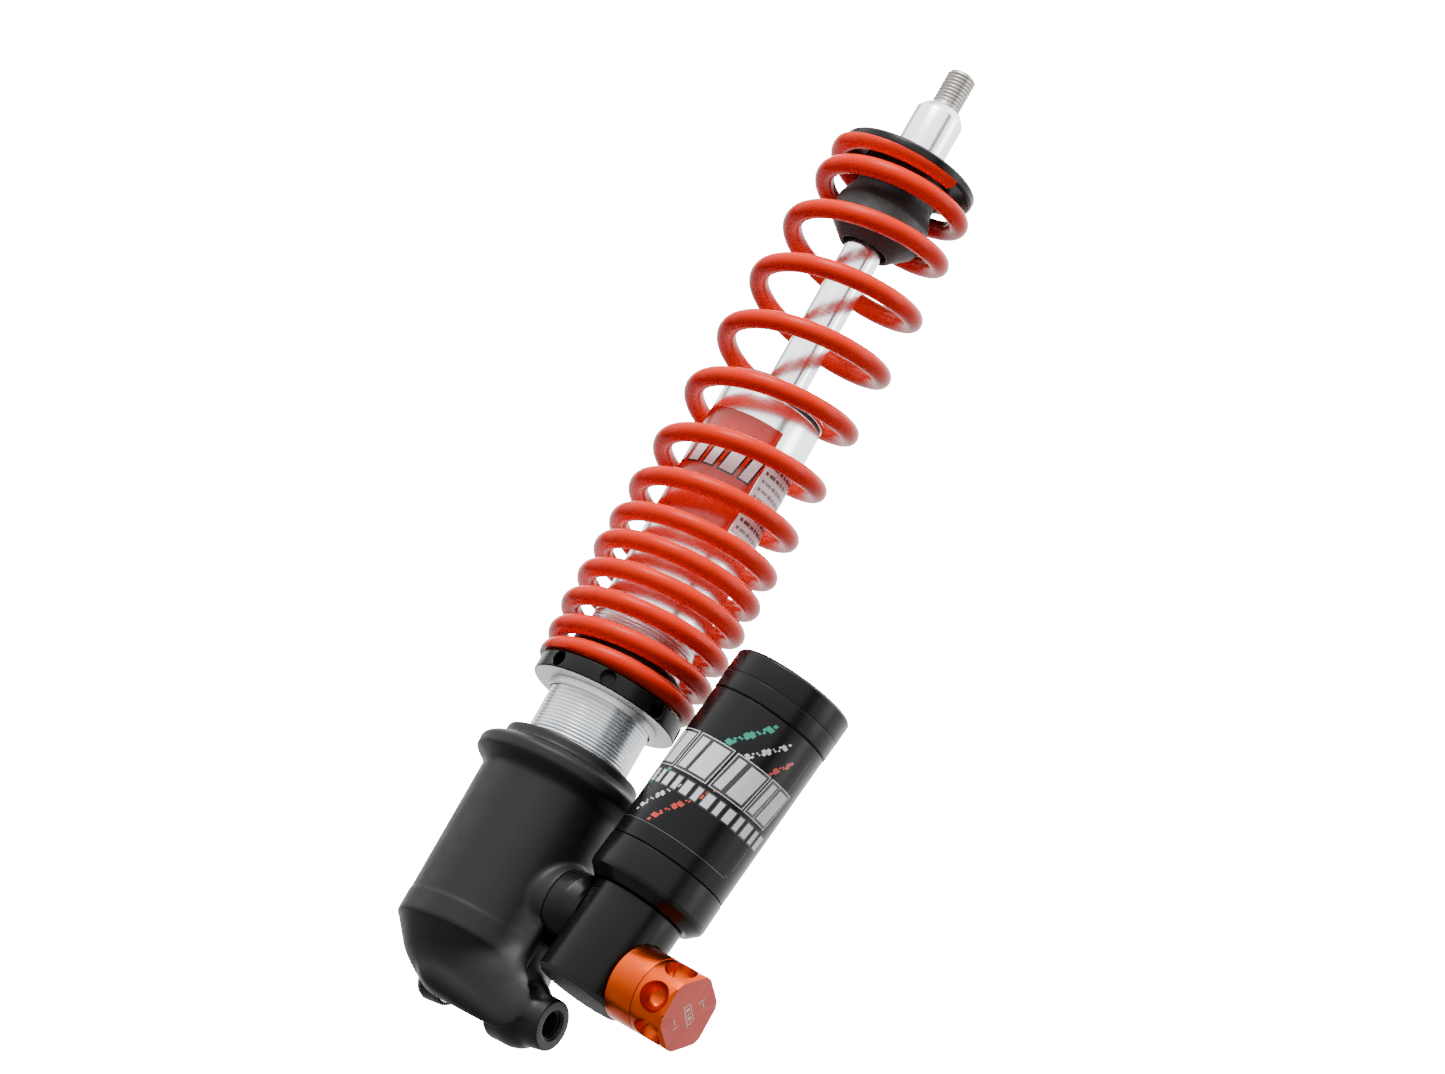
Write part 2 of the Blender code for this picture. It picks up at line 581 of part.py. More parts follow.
def reservoir_body(frame):
    """Base ring, tube and end cap with its seal, and the gas valve sunk in the cap."""
    turned("reservoir_base_ring", [
        (13.3, HEAD_TOP), (BASE_RADIUS - 3.6, HEAD_TOP), (BASE_RADIUS - 0.4, HEAD_TOP + 3.0),
        (BASE_RADIUS, HEAD_TOP + 4.4), (BASE_RADIUS, BASE_TOP - 5.5),
        (BASE_RADIUS - 0.9, BASE_TOP - 1.0), (RES_RADIUS - 0.4, BASE_TOP), (13.3, BASE_TOP)],
        "black_anodised", frame, 40)
    low = BASE_TOP + GAP
    turned("reservoir_tube", [
        (RES_BORE, low), (RES_RADIUS - 0.4, low), (RES_RADIUS, low + 0.4),
        (RES_RADIUS, RES_TUBE_TOP - 0.6), (RES_RADIUS - 0.6, RES_TUBE_TOP),
        (RES_BORE, RES_TUBE_TOP)], "black_anodised", frame, 40)
    spigot = RES_BORE - GAP
    cap_low = RES_TUBE_TOP + GAP
    turned("reservoir_cap", [
        (0, cap_low - 8.0), (spigot, cap_low - 8.0), (spigot, cap_low - 6.0),
        (spigot - 1.4, cap_low - 6.0), (spigot - 1.4, cap_low - 3.6), (spigot, cap_low - 3.6),
        (spigot, cap_low), (CAP_RADIUS - 0.8, cap_low), (CAP_RADIUS - 0.1, cap_low + 0.7),
        (CAP_RADIUS, CAP_TOP - 1.2), (CAP_RADIUS - 1.2, CAP_TOP), (8.0, CAP_TOP),
        (8.0, CAP_TOP - 7.0), (3.2, CAP_TOP - 7.0), (3.2, CAP_TOP - 15.0), (0, CAP_TOP - 15.0)],
        "black_anodised", frame, 40)
    turned("cap_o_ring", sleeve(spigot - 1.1, spigot, cap_low - 5.7, cap_low - 3.9),
           "rubber", frame)
    turned("gas_valve", [
        (0, CAP_TOP - 14.7), (2.9, CAP_TOP - 14.7), (2.9, CAP_TOP - 6.7), (5.4, CAP_TOP - 6.7),
        (5.4, CAP_TOP - 5.2), (2.6, CAP_TOP - 5.2), (2.6, CAP_TOP - 1.9), (0, CAP_TOP - 1.9)],
        "bronze", frame, SMALL)
    turned("gas_valve_cap", [
        (2.9, CAP_TOP - 4.9), (4.2, CAP_TOP - 4.9), (4.2, CAP_TOP - 0.6), (0, CAP_TOP - 0.6),
        (0, CAP_TOP - 1.6), (2.9, CAP_TOP - 1.6)], "black_plastic", frame, SMALL)


def floating_piston(frame):
    """Cup that parts the oil from the gas, with its seal."""
    outer = RES_BORE - GAP
    turned("floating_piston", [
        (0, -5.0), (outer - 0.6, -5.0), (outer, -4.4), (outer, -1.4), (outer - 1.4, -1.4),
        (outer - 1.4, 1.4), (outer, 1.4), (outer, 7.0), (outer - 3.0, 7.0), (outer - 3.0, -1.8),
        (0, -1.8)], "bright_alloy", frame)
    turned("floating_piston_seal", sleeve(outer - 1.1, outer, -1.1, 1.1), "rubber", frame)


def bridge():
    """Hollow union and its spacer ring, between the housing's pad and the head's boss."""
    union = turned("bridge_union", sleeve(2.6, 5.0, 0, 24.5, 0.5), "steel", segments=16)
    along_x(union, 14.8, 0, PORT_Z)
    ring = turned("bridge_spacer", sleeve(7.4, 9.6, 0, 3.9), "black_anodised", segments=24)
    along_x(ring, PAD_X + GAP, 0, PORT_Z)
    seal = turned("bridge_o_ring", sleeve(5.3, 7.1, 0, 3.9, 0.5), "rubber", segments=SMALL)
    along_x(seal, PAD_X + GAP, 0, PORT_Z)


def valve_cartridge(frame):
    """Fixed sleeve that guides both valve spindles."""
    sleeve_piece = turned("valve_cartridge", [
        (0, -8.5), (6.0, -8.5), (6.0, KNOB_START - 0.7), (3.9, KNOB_START - 0.7), (3.9, -6.0),
        (0, -6.0)], "steel", frame, SMALL)
    port = new_object("cartridge_port", rod_mesh("cartridge_port", 1.5, -10, 10, 10), None,
                      frame)
    port.rotation_euler = (0.0, math.pi / 2, 0.0)
    port.location = (0.0, 0.0, -2.5 * MM)
    cut(sleeve_piece, port)


def high_speed_adjuster(frame):
    """Inner knob and the hollow spindle that it turns."""
    turned("high_speed_knob", sleeve(3.9, KNOB_RADIUS, KNOB_START, KNOB_SPLIT, 0.3),
           "orange_anodised", frame)
    turned("high_speed_spindle", sleeve(2.3, 3.6, -3.0, KNOB_SPLIT - 0.5), "steel", frame, 16)


def leaned(shape, place, lean, turn):
    """Put a shape at a radius and height on the knobs' axis, leaning outwards."""
    radius, height = place
    shape.rotation_euler = (0.0, lean, turn)
    shape.location = Vector((radius * math.cos(turn), radius * math.sin(turn), height)) * MM
    return shape


def low_speed_adjuster(frame):
    """Outer knob with its finger pits, and the needle that it turns."""
    low = KNOB_SPLIT + GAP
    knob = turned("low_speed_knob", [
        (2.3, low), (KNOB_RADIUS - 0.3, low), (KNOB_RADIUS, low + 0.3),
        (KNOB_RADIUS, KNOB_END - 0.4), (KNOB_RADIUS - 0.4, KNOB_END), (0, KNOB_END),
        (0, KNOB_END - 2.0), (2.3, KNOB_END - 2.0)], "orange_anodised", frame)
    for number in range(KNOB_PITS):
        turn = math.radians(-7.0) + 2 * math.pi * number / KNOB_PITS
        name = "knob_facet_%d" % number
        facet = new_object(name, box_mesh(name, (-11, -11, 0), (11, 11, 9)), None, frame)
        cut(knob, leaned(facet, FACET_PLACE, math.pi / 4, turn))
        name = "finger_pit_%d" % number
        pit = new_object(name, turned_mesh(name, PIT_OUTLINE, 20), None, frame)
        cut(knob, leaned(pit, PIT_PLACE, PIT_LEAN, turn))
    turned("low_speed_needle", [
        (0, -5.0), (1.9, -1.6), (1.9, KNOB_END - 2.4), (0, KNOB_END - 2.4)], "steel", frame, 12)


# ---- assembly -----------------------------------------------------------------------------
def build():
    clear_scene()

    lower_casting()
    clevis_bush()
    damper_tube()
    gland()

    lift = empty("preload_lift_axis", (0, 0, 0))
    spring_seat(lift)
    turn = empty("preload_turn_axis", (0, 0, 0), parent=lift)
    preload_collar(turn)
    coil_spring()

    stroke = empty("stroke_axis", (0, 0, 0))
    piston_rod(stroke)
    piston_stack(stroke)
    top_mount(stroke)

    bridge()
    reservoir = empty("reservoir_axis", (RES_X, 0, RES_Z), (0.0, RES_TILT, 0.0))
    reservoir_head(reservoir)
    reservoir_body(reservoir)
    divider = empty("floating_piston_axis", (0, 0, 78.0), parent=reservoir)
    floating_piston(divider)
    knobs = empty("adjuster_axis", (0, 0, KNOB_HEIGHT), (0.0, math.pi / 2, 0.0), reservoir)
    valve_cartridge(knobs)
    high_speed_adjuster(knobs)
    low_speed_adjuster(knobs)
    bpy.context.view_layer.update()


build()
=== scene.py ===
"""The looks of the rear shock: visible pieces, finishes, studio and camera.

Lengths are millimetres and become metres when a mesh is made. Turned pieces are drawn as
outlines of (radius, height, corner radius) points round a local Z axis.
"""
import json
import math

import bmesh
import bpy
import numpy as np
from mathutils import Matrix, Vector


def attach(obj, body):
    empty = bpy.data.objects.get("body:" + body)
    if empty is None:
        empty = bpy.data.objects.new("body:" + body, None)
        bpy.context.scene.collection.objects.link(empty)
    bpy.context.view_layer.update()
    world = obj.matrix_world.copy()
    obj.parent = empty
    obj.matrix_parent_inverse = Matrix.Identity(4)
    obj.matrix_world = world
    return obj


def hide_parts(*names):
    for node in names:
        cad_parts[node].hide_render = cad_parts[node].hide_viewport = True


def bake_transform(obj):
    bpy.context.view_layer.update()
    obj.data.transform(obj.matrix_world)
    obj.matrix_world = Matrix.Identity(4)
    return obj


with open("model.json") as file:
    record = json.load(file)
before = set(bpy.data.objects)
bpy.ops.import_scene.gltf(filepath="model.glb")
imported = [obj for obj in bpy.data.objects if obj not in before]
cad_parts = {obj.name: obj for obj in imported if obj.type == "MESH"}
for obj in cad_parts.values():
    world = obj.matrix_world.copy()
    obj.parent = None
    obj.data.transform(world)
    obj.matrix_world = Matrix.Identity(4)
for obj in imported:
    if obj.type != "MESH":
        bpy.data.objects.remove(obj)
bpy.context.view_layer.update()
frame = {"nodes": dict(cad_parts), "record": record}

MM = 0.001
TAU = 2 * math.pi
UPRIGHT = Matrix.Identity(4)
ACROSS = Matrix.Rotation(math.pi / 2, 4, "Y")  # lays a piece's own Z axis along X
RES_BASE = Vector((45.84, 0.0, 12.41))  # middle of the reservoir's lower end
RES_TILT = math.radians(7.0)
KNOB_HEIGHT = 11.8  # adjusters' axis above the lower end
PORT_HEIGHT = 36.0  # axis of the bridge to the reservoir
RESERVOIR = Matrix.Translation(RES_BASE * MM) @ Matrix.Rotation(RES_TILT, 4, "Y")
KNOBS = RESERVOIR @ Matrix.Translation((0, 0, KNOB_HEIGHT * MM)) @ ACROSS
SHARP = 32.0  # degrees, above which an edge stays crisp
M10_PITCH = 1.25
TUBE_PITCH = 1.2


# ---- finishes
class Finish:
    """A Principled material whose colour, roughness and surface vary with procedural noise."""

    def __init__(self, name, roughness, metallic=0.0, **fixed):
        self.material = bpy.data.materials.new(name)
        self.material.use_nodes = True
        self.tree = self.material.node_tree
        self.shader = self.tree.nodes["Principled BSDF"]
        self.place = self.tree.nodes.new("ShaderNodeTexCoord").outputs["Object"]
        self.shader.inputs["Metallic"].default_value = metallic
        self.shader.inputs["Roughness"].default_value = roughness
        for key, value in fixed.items():
            self.shader.inputs[key.replace("_", " ")].default_value = value

    def node(self, kind, **inputs):
        """A node whose inputs are values or other nodes' outputs."""
        made = self.tree.nodes.new("ShaderNode" + kind)
        for key, value in inputs.items():
            socket = made.inputs[key.replace("_", " ")]
            if isinstance(value, bpy.types.NodeSocket):
                self.tree.links.new(value, socket)
            else:
                socket.default_value = value
        return made

    def noise(self, scale, detail=3.0, stretch=(1.0, 1.0, 1.0)):
        """Noise through the piece, finer with a higher scale."""
        spread = self.node("Mapping", Vector=self.place, Scale=stretch)
        return self.node("TexNoise", Vector=spread.outputs[0], Scale=scale,
                         Detail=detail).outputs[0]

    def between(self, value, low, high, start=0.3, end=0.7):
        """Stretch a noise value from its usual span to low and high."""
        return self.node("MapRange", Value=value, From_Min=start, From_Max=end, To_Min=low,
                         To_Max=high).outputs[0]

    def colours(self, factor, first, second):
        """Vary the base colour between two colours."""
        mix = self.node("Mix")
        mix.data_type = "RGBA"
        mix.inputs[6].default_value = (*first, 1.0)
        mix.inputs[7].default_value = (*second, 1.0)
        self.tree.links.new(factor, mix.inputs[0])
        self.tree.links.new(mix.outputs[2], self.shader.inputs["Base Color"])
        return self

    def rough(self, value):
        self.tree.links.new(value, self.shader.inputs["Roughness"])
        return self

    def bump(self, height, strength, distance=0.00005):
        made = self.node("Bump", Height=height, Strength=strength, Distance=distance)
        self.tree.links.new(made.outputs[0], self.shader.inputs["Normal"])
        return self


def cast_paint():
    """Satin black paint on a sand-cast surface."""
    made = Finish("cast_paint", 0.42, Specular_IOR_Level=0.20)
    broad = made.between(made.noise(90.0, 4.0), 0.0, 1.0)
    made.colours(broad, (0.0050, 0.0050, 0.0056), (0.0075, 0.0075, 0.0083))
    made.rough(made.between(made.noise(160.0), 0.40, 0.50))
    return made.bump(made.noise(1500.0, 4.0), 0.35, 0.00008)


def anodised(name, first, second, roughness, metallic, line=4200.0, strength=0.12, shine=0.5):
    """Anodised turned aluminium, with fine tool lines round the local Z axis."""
    made = Finish(name, roughness, metallic, Specular_IOR_Level=shine)
    made.colours(made.between(made.noise(120.0), 0.0, 1.0), first, second)
    lines = made.noise(1.0, 2.0, (6.0, 6.0, line))
    made.rough(made.between(lines, roughness - 0.04, roughness + 0.06))
    return made.bump(lines, strength, 0.00002)


def powder_coat():
    """Gloss red powder coat with slight orange peel."""
    made = Finish("red_powder_coat", 0.26, Specular_IOR_Level=0.10)
    made.colours(made.between(made.noise(70.0), 0.0, 1.0), (0.92, 0.020, 0.003),
                 (0.98, 0.028, 0.005))
    made.rough(made.between(made.noise(400.0), 0.24, 0.29))
    return made.bump(made.noise(500.0, 1.0), 0.05, 0.00004)


def moulded(name, first, second, roughness, grain=1200.0):
    """Rubber or plastic with a fine moulded grain."""
    made = Finish(name, roughness)
    made.colours(made.between(made.noise(200.0), 0.0, 1.0), first, second)
    made.rough(made.between(made.noise(500.0), roughness - 0.06, roughness + 0.06))
    return made.bump(made.noise(grain, 3.0), 0.3, 0.00004)


def printed(name, first, second, roughness=0.3):
    """Printed ink or film."""
    made = Finish(name, roughness)
    made.colours(made.between(made.noise(300.0), 0.0, 1.0), first, second)
    return made.rough(made.between(made.noise(250.0), roughness - 0.03, roughness + 0.03))


def all_finishes():
    """Every material by its short name."""
    dark = (0.0042, 0.0042, 0.0047)
    made = {
        "casting": cast_paint(),
        "black": anodised("black_anodised_finish", dark, (0.0060, 0.0060, 0.0068), 0.25,
                          0.0, strength=0.03, shine=0.14),
        "alloy": anodised("bright_alloy_finish", (0.90, 0.94, 0.97), (0.93, 0.97, 0.99), 0.20,
                          1.0),
        "thread": anodised("thread_finish", (0.84, 0.88, 0.92), (0.90, 0.93, 0.96), 0.22, 0.7),
        "bare": anodised("bare_alloy_finish", (0.62, 0.62, 0.62), (0.70, 0.70, 0.70), 0.38,
                         0.85),
        "chrome": anodised("hard_chrome_finish", (0.88, 0.91, 0.94), (0.92, 0.94, 0.97), 0.17,
                           1.0, 3000.0, 0.03),
        "steel": anodised("machined_steel_finish", (0.34, 0.32, 0.29), (0.46, 0.44, 0.41), 0.33,
                          1.0, 2500.0, 0.3),
        "orange": anodised("orange_anodised_finish", (0.44, 0.044, 0.001), (0.50, 0.054, 0.002),
                           0.25, 1.0, 3600.0, 0.2),
        "orange_end": anodised("orange_end_finish", (0.34, 0.022, 0.012), (0.40, 0.029, 0.016),
                               0.42, 0.45),
        "red": powder_coat(),
        "black_end": moulded("black_end_finish", dark, (0.0060, 0.0060, 0.0068), 0.75),
        "rubber": moulded("rubber_finish", (0.009, 0.009, 0.009), (0.014, 0.014, 0.014), 0.55),
        "plastic": moulded("plastic_finish", (0.012, 0.012, 0.012), (0.018, 0.018, 0.018),
                           0.42),
        "bronze": anodised("bronze_finish", (0.42, 0.27, 0.11), (0.52, 0.36, 0.16), 0.35, 1.0),
        "white_ink": printed("white_ink", (0.90, 0.91, 0.95), (0.94, 0.95, 0.98)),
        "black_ink": printed("black_ink", (0.004, 0.004, 0.005), (0.007, 0.007, 0.008)),
        "grey_ink": printed("grey_ink", (0.10, 0.10, 0.11), (0.15, 0.15, 0.16)),
        "film_edge": printed("film_edge", (0.05, 0.05, 0.055), (0.08, 0.08, 0.085)),
        "green_ink": printed("green_ink", (0.006, 0.30, 0.20), (0.010, 0.38, 0.26)),
        "red_ink": printed("red_ink", (0.62, 0.030, 0.018), (0.74, 0.050, 0.028)),
        "red_film": printed("red_film", (0.58, 0.014, 0.006), (0.68, 0.022, 0.010), 0.22),
        "etched": printed("etched_mark", (0.86, 0.62, 0.50), (0.95, 0.74, 0.62), 0.45),
    }
    return {key: value.material for key, value in made.items()}


FINISH = all_finishes()


# ---- geometry helpers
def finished(name, mesh, finish, place=UPRIGHT, sharp=SHARP):
    """An object from a mesh, with one finish or several."""
    mesh.shade_smooth()
    mesh.set_sharp_from_angle(angle=math.radians(sharp))
    for key in ([finish] if isinstance(finish, str) else finish):
        mesh.materials.append(FINISH[key])
    obj = bpy.data.objects.new(name, mesh)
    obj.matrix_world = place
    bpy.context.scene.collection.objects.link(obj)
    return obj


def to_mesh(name, verts, faces, merge=True, outwards=True):
    """A mesh from points in millimetres, with its normals outwards if it is closed."""
    mesh = bpy.data.meshes.new(name)
    mesh.from_pydata([tuple(v) for v in np.asarray(verts) * MM], [], faces)
    if outwards:
        bm = bmesh.new()
        bm.from_mesh(mesh)
        if merge:
            bmesh.ops.remove_doubles(bm, verts=bm.verts, dist=1e-7)
            bmesh.ops.dissolve_degenerate(bm, edges=bm.edges, dist=1e-8)
        bmesh.ops.recalc_face_normals(bm, faces=bm.faces)
        bm.to_mesh(mesh)
        bm.free()
    return mesh


def to_skin(name, verts, faces):
    """An open mesh from points in millimetres, with its faces left as they are drawn."""
    return to_mesh(name, verts, faces, outwards=False)


def rounded(points, steps=4):
    """A closed outline whose corners are rounded where a point states a radius."""
    outline = []
    for index, point in enumerate(points):
        radius = point[2] if len(point) > 2 else 0.0
        here = Vector(point[:2])
        before = Vector(points[index - 1][:2]) - here
        after = Vector(points[(index + 1) % len(points)][:2]) - here
        half = before.angle(after) / 2
        reach = radius / math.tan(half) if radius and half < 1.55 else 0.0
        reach = min(reach, before.length * 0.49, after.length * 0.49)
        if reach < 0.01:
            outline.append(here)
            continue
        start = here + before.normalized() * reach
        end = here + after.normalized() * reach
        for step in range(steps + 1):
            t = step / steps
            outline.append(start * (1 - t) ** 2 + here * 2 * t * (1 - t) + end * t * t)
    return outline


def lathe_mesh(name, points, segments=144):
    """Spin a closed outline about Z."""
    outline = rounded(points)
    count = len(outline)
    verts = []
    for point in outline:
        for step in range(segments):
            turn = TAU * step / segments
            verts.append((point.x * math.cos(turn), point.x * math.sin(turn), point.y))
    faces = []
    for row in range(count):
        if outline[row].x < 1e-6 and outline[(row + 1) % count].x < 1e-6:
            continue
        for step in range(segments):
            after = (step + 1) % segments
            low, high = row * segments, (row + 1) % count * segments
            faces.append((low + step, low + after, high + after, high + step))
    return to_mesh(name, verts, faces)


def lathe(name, points, finish, place=UPRIGHT, segments=144):
    """A turned object with its finish."""
    return finished(name, lathe_mesh(name, points, segments), finish, place)


def ring(inner, outer, low, high, corner=0.25):
    """Outline of a plain ring with its corners rounded."""
    return [(inner, low, corner), (outer, low, corner), (outer, high, corner),
            (inner, high, corner)]


def thread_mesh(name, low, high, pitch, crest, root, segments=96, inward=False):
    """A real right-hand helical thread as a skin, run out flat at both ends."""
    shape = ((0.0, root), (0.12, root), (0.42, crest), (0.58, crest), (0.88, root))
    turns = int((high - low) / pitch) + 2
    verts, faces = [], []
    per_turn = len(shape)
    for step in range(segments + 1):
        turn = TAU * step / segments
        for number in range(turns * per_turn):
            share, radius = shape[number % per_turn]
            z = low + (number // per_turn - 1 + share + step / segments) * pitch
            z = min(max(z, low), high)
            edge = min(z - low, high - z) / (0.5 * pitch)
            radius = root + (radius - root) * min(edge, 1.0)
            verts.append((radius * math.cos(turn), radius * math.sin(turn), z))
    rows = turns * per_turn
    for step in range(segments):
        for number in range(rows - 1):
            first = step * rows + number
            face = (first, first + rows, first + rows + 1, first + 1)
            faces.append(face[::-1] if inward else face)
    return to_skin(name, verts, faces)


def carve(obj, cutters):
    """Cut shapes out of an object for good."""
    for number, cutter in enumerate(cutters):
        modifier = obj.modifiers.new("cut_%d" % number, "BOOLEAN")
        modifier.operation = "DIFFERENCE"
        modifier.solver = "EXACT"
        modifier.object = cutter
    bpy.context.view_layer.update()
    graph = bpy.context.evaluated_depsgraph_get()
    mesh = bpy.data.meshes.new_from_object(obj.evaluated_get(graph))
    obj.modifiers.clear()
    obj.data = mesh
    mesh.shade_smooth()
    mesh.set_sharp_from_angle(angle=math.radians(SHARP))
    for cutter in cutters:
        bpy.data.objects.remove(cutter, do_unlink=True)
    return obj


def cutter(points, place, segments=48):
    """A turned shape for carve."""
    return lathe("cutter", points, "steel", place, segments)


def stands_for(obj, body, slot, *nodes):
    """A finished piece: what it rides on, what it is made of (not used), and the plain nodes it
    shows.
    """
    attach(obj, body)
    if nodes:
        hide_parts(*nodes)
    return obj


# ---- casting
def soft_min(a, b, k):
    """The smaller of two distances, blended over a width of k."""
    h = np.clip(0.5 + 0.5 * (b - a) / k, 0.0, 1.0)
    return b * (1 - h) + a * h - k * h * (1 - h)


def soft_max(a, b, k):
    """The larger of two distances, blended over a width of k."""
    return -soft_min(-a, -b, k)


def barrel(across, along, radius, low, high):
    """Distance to a round bar, from the distance off its axis and the place along it."""
    side = across - radius
    end = np.maximum(low - along, along - high)
    return np.minimum(np.maximum(side, end), 0.0) + np.hypot(np.maximum(side, 0.0),
                                                             np.maximum(end, 0.0))


def block(x, y, z, low, high, corner=0.0):
    """Distance to a box between two corners, with rounded edges."""
    outside = 0.0
    inside = -1e9
    for value, start, end in zip((x, y, z), low, high):
        off = np.abs(value - (start + end) / 2) - (end - start) / 2 + corner
        outside = outside + np.maximum(off, 0.0) ** 2
        inside = np.maximum(inside, off)
    return np.sqrt(outside) + np.minimum(inside, 0.0) - corner


def round_cone(x, y, z, start, end, first, second):
    """Distance to two balls and everything stretched between them."""
    axis = np.array(end, float) - np.array(start, float)
    length2 = float(axis @ axis)
    drop = first - second
    flat2 = length2 - drop * drop
    px, py, pz = x - start[0], y - start[1], z - start[2]
    along = px * axis[0] + py * axis[1] + pz * axis[2]
    rest = along - length2
    across2 = ((px * length2 - axis[0] * along) ** 2 + (py * length2 - axis[1] * along) ** 2
               + (pz * length2 - axis[2] * along) ** 2)
    y2 = along * along * length2
    z2 = rest * rest * length2
    k = np.sign(drop) * drop * drop * across2
    near_end = np.sign(rest) * flat2 * z2 > k
    near_start = np.sign(along) * flat2 * y2 < k
    side = (np.sqrt(across2 * flat2 / length2) + along * drop) / length2 - first
    tip = np.sqrt(across2 + z2) / length2 - second
    foot = np.sqrt(across2 + y2) / length2 - first
    return np.where(near_end, tip, np.where(near_start, foot, side))


TABLE_STEP = 0.25
TABLE_LOW = -20.0


def turned_distance(radius, height, points):
    """Distance to a turned outline, on a table that is then read off."""
    outline = np.array([tuple(p) for p in rounded(points, 5)])
    rs = np.arange(0.0, 45.01, TABLE_STEP)
    zs = np.arange(TABLE_LOW, 95.01, TABLE_STEP)
    r, z = np.meshgrid(rs, zs, indexing="ij")
    best = np.full(r.shape, 1e9)
    inside = np.zeros(r.shape, bool)
    for (r0, z0), (r1, z1) in zip(outline, np.roll(outline, -1, 0)):
        if r0 > 1e-6 or r1 > 1e-6:
            dr, dz = r1 - r0, z1 - z0
            t = np.clip(((r - r0) * dr + (z - z0) * dz) / (dr * dr + dz * dz + 1e-12), 0, 1)
            best = np.minimum(best, np.hypot(r - r0 - t * dr, z - z0 - t * dz))
        crosses = (z0 > z) != (z1 > z)
        with np.errstate(divide="ignore", invalid="ignore"):
            inside ^= crosses & (r < (r1 - r0) * (z - z0) / (z1 - z0) + r0)
    table = np.where(inside, -best, best)
    i = np.clip(radius / TABLE_STEP, 0, len(rs) - 1.001)
    j = np.clip((height - TABLE_LOW) / TABLE_STEP, 0, len(zs) - 1.001)
    i0, j0 = i.astype(int), j.astype(int)
    fi, fj = i - i0, j - j0
    return ((table[i0, j0] * (1 - fi) + table[i0 + 1, j0] * fi) * (1 - fj)
            + (table[i0, j0 + 1] * (1 - fi) + table[i0 + 1, j0 + 1] * fi) * fj)


HOUSING = [(0, 12.7), (24.5, 12.7, 1.0), (24.5, 68.3, 3.0), (29.1, 71.8, 1.8), (29.2, 75.6, 1.8),
           (27.6, 77.0, 1.5), (23.4, 78.9, 0.9), (23.3, 82.4, 0.6), (0, 82.4)]
SKIRT = [(0, -7.2), (4.5, -6.2, 3.0), (10.6, -2.2, 5.0), (17.4, 3.8, 6.0), (24.3, 12.6),
         (24.3, 20.0), (0, 20.0)]  # the part that narrows below the housing
BOSS_END = (31.0, 0, 0.0)  # the foot's lobe ends round the threaded boss
BOSS_FACE = 43.6  # flat end of the threaded boss
PAD_FACE = 26.5  # flat face that the bridge stands on
FAR = 50.0  # a distance that switches a shape off


def foot_distance(x, y, z, radius):
    """The lobe under the housing that carries both ears, and its fuller front."""
    shell = round_cone(x, y, z, (0, 0, 13.2), BOSS_END, 18.6, 11.0)
    lobe = soft_max(shell, x - 36.2, 1.6)
    lobe = soft_max(lobe, y - 11.4, 1.5)
    lobe = soft_max(lobe, -3.8 - x, 1.6) * (z < 30) + FAR * (z >= 30)
    blunt = round_cone(x, y * 0.55, z, (7.0, 0, 7.5), BOSS_END, 16.0, 11.2)
    plan = round_cone(x, y, z * 0, (3.0, 0, 0.0), BOSS_END, 16.5, 11.2)
    skirt = turned_distance(radius, z, SKIRT)
    front = soft_min(soft_min(soft_max(blunt, plan, 4.0), skirt, 3.0), shell, 2.0)
    front = soft_max(front, y + 9.0, 1.0) + FAR * (z > 24)
    return np.minimum(lobe, front)


def casting_distance(x, y, z):
    """The whole casting as one signed distance."""
    radius = np.hypot(x, y)
    off_bolt = np.hypot(y, z)
    off_port = np.hypot(y, z - PORT_HEIGHT)
    body = turned_distance(radius, z, HOUSING)
    body = soft_min(body, foot_distance(x, y, z, radius), 1.3)
    rib = block(x, y, z, (8.0, -11.0, 4.0), (28.4, 11.0, 29.0), 3.0)
    body = soft_min(body, rib, 4.0)
    pad = barrel(off_port, x, 13.9, 5.0, PAD_FACE)
    body = soft_min(body, soft_max(pad, x - PAD_FACE, 0.6), 1.6)
    boss = barrel(off_bolt + 0.10 * (x - BOSS_FACE), x, 8.3, 20.0, BOSS_FACE)
    body = soft_min(body, soft_max(boss, x - BOSS_FACE, 0.9), 1.6)
    pocket = np.hypot(np.hypot(x - 37.4, y + 6.2), z - 8.4) - 4.4
    body = soft_max(body, -pocket, 1.0)
    slot = block(x, y, z, (1.5, -9.0, -60.0), (23.5, 60.0, 15.0), 1.5)
    body = soft_max(body, -slot, 0.8)
    ear = barrel(off_bolt, x, 7.2, -5.2, 1.5)
    body = soft_min(body, ear, 1.0)
    bore = barrel(radius, z, 14.5, 24.0, 120.0)
    upper = barrel(radius, z, 18.0, 43.9, 120.0)
    body = soft_max(body, -np.minimum(bore, upper), 0.4)
    plain = barrel(off_bolt, x, 6.3, -60.0, 12.0)
    tapped = barrel(off_bolt, x, 5.0, 12.0, 60.0)
    port = barrel(off_port, x, 5.3, 10.0, 60.0)
    return soft_max(body, -np.minimum(np.minimum(plain, tapped), port), 0.5)


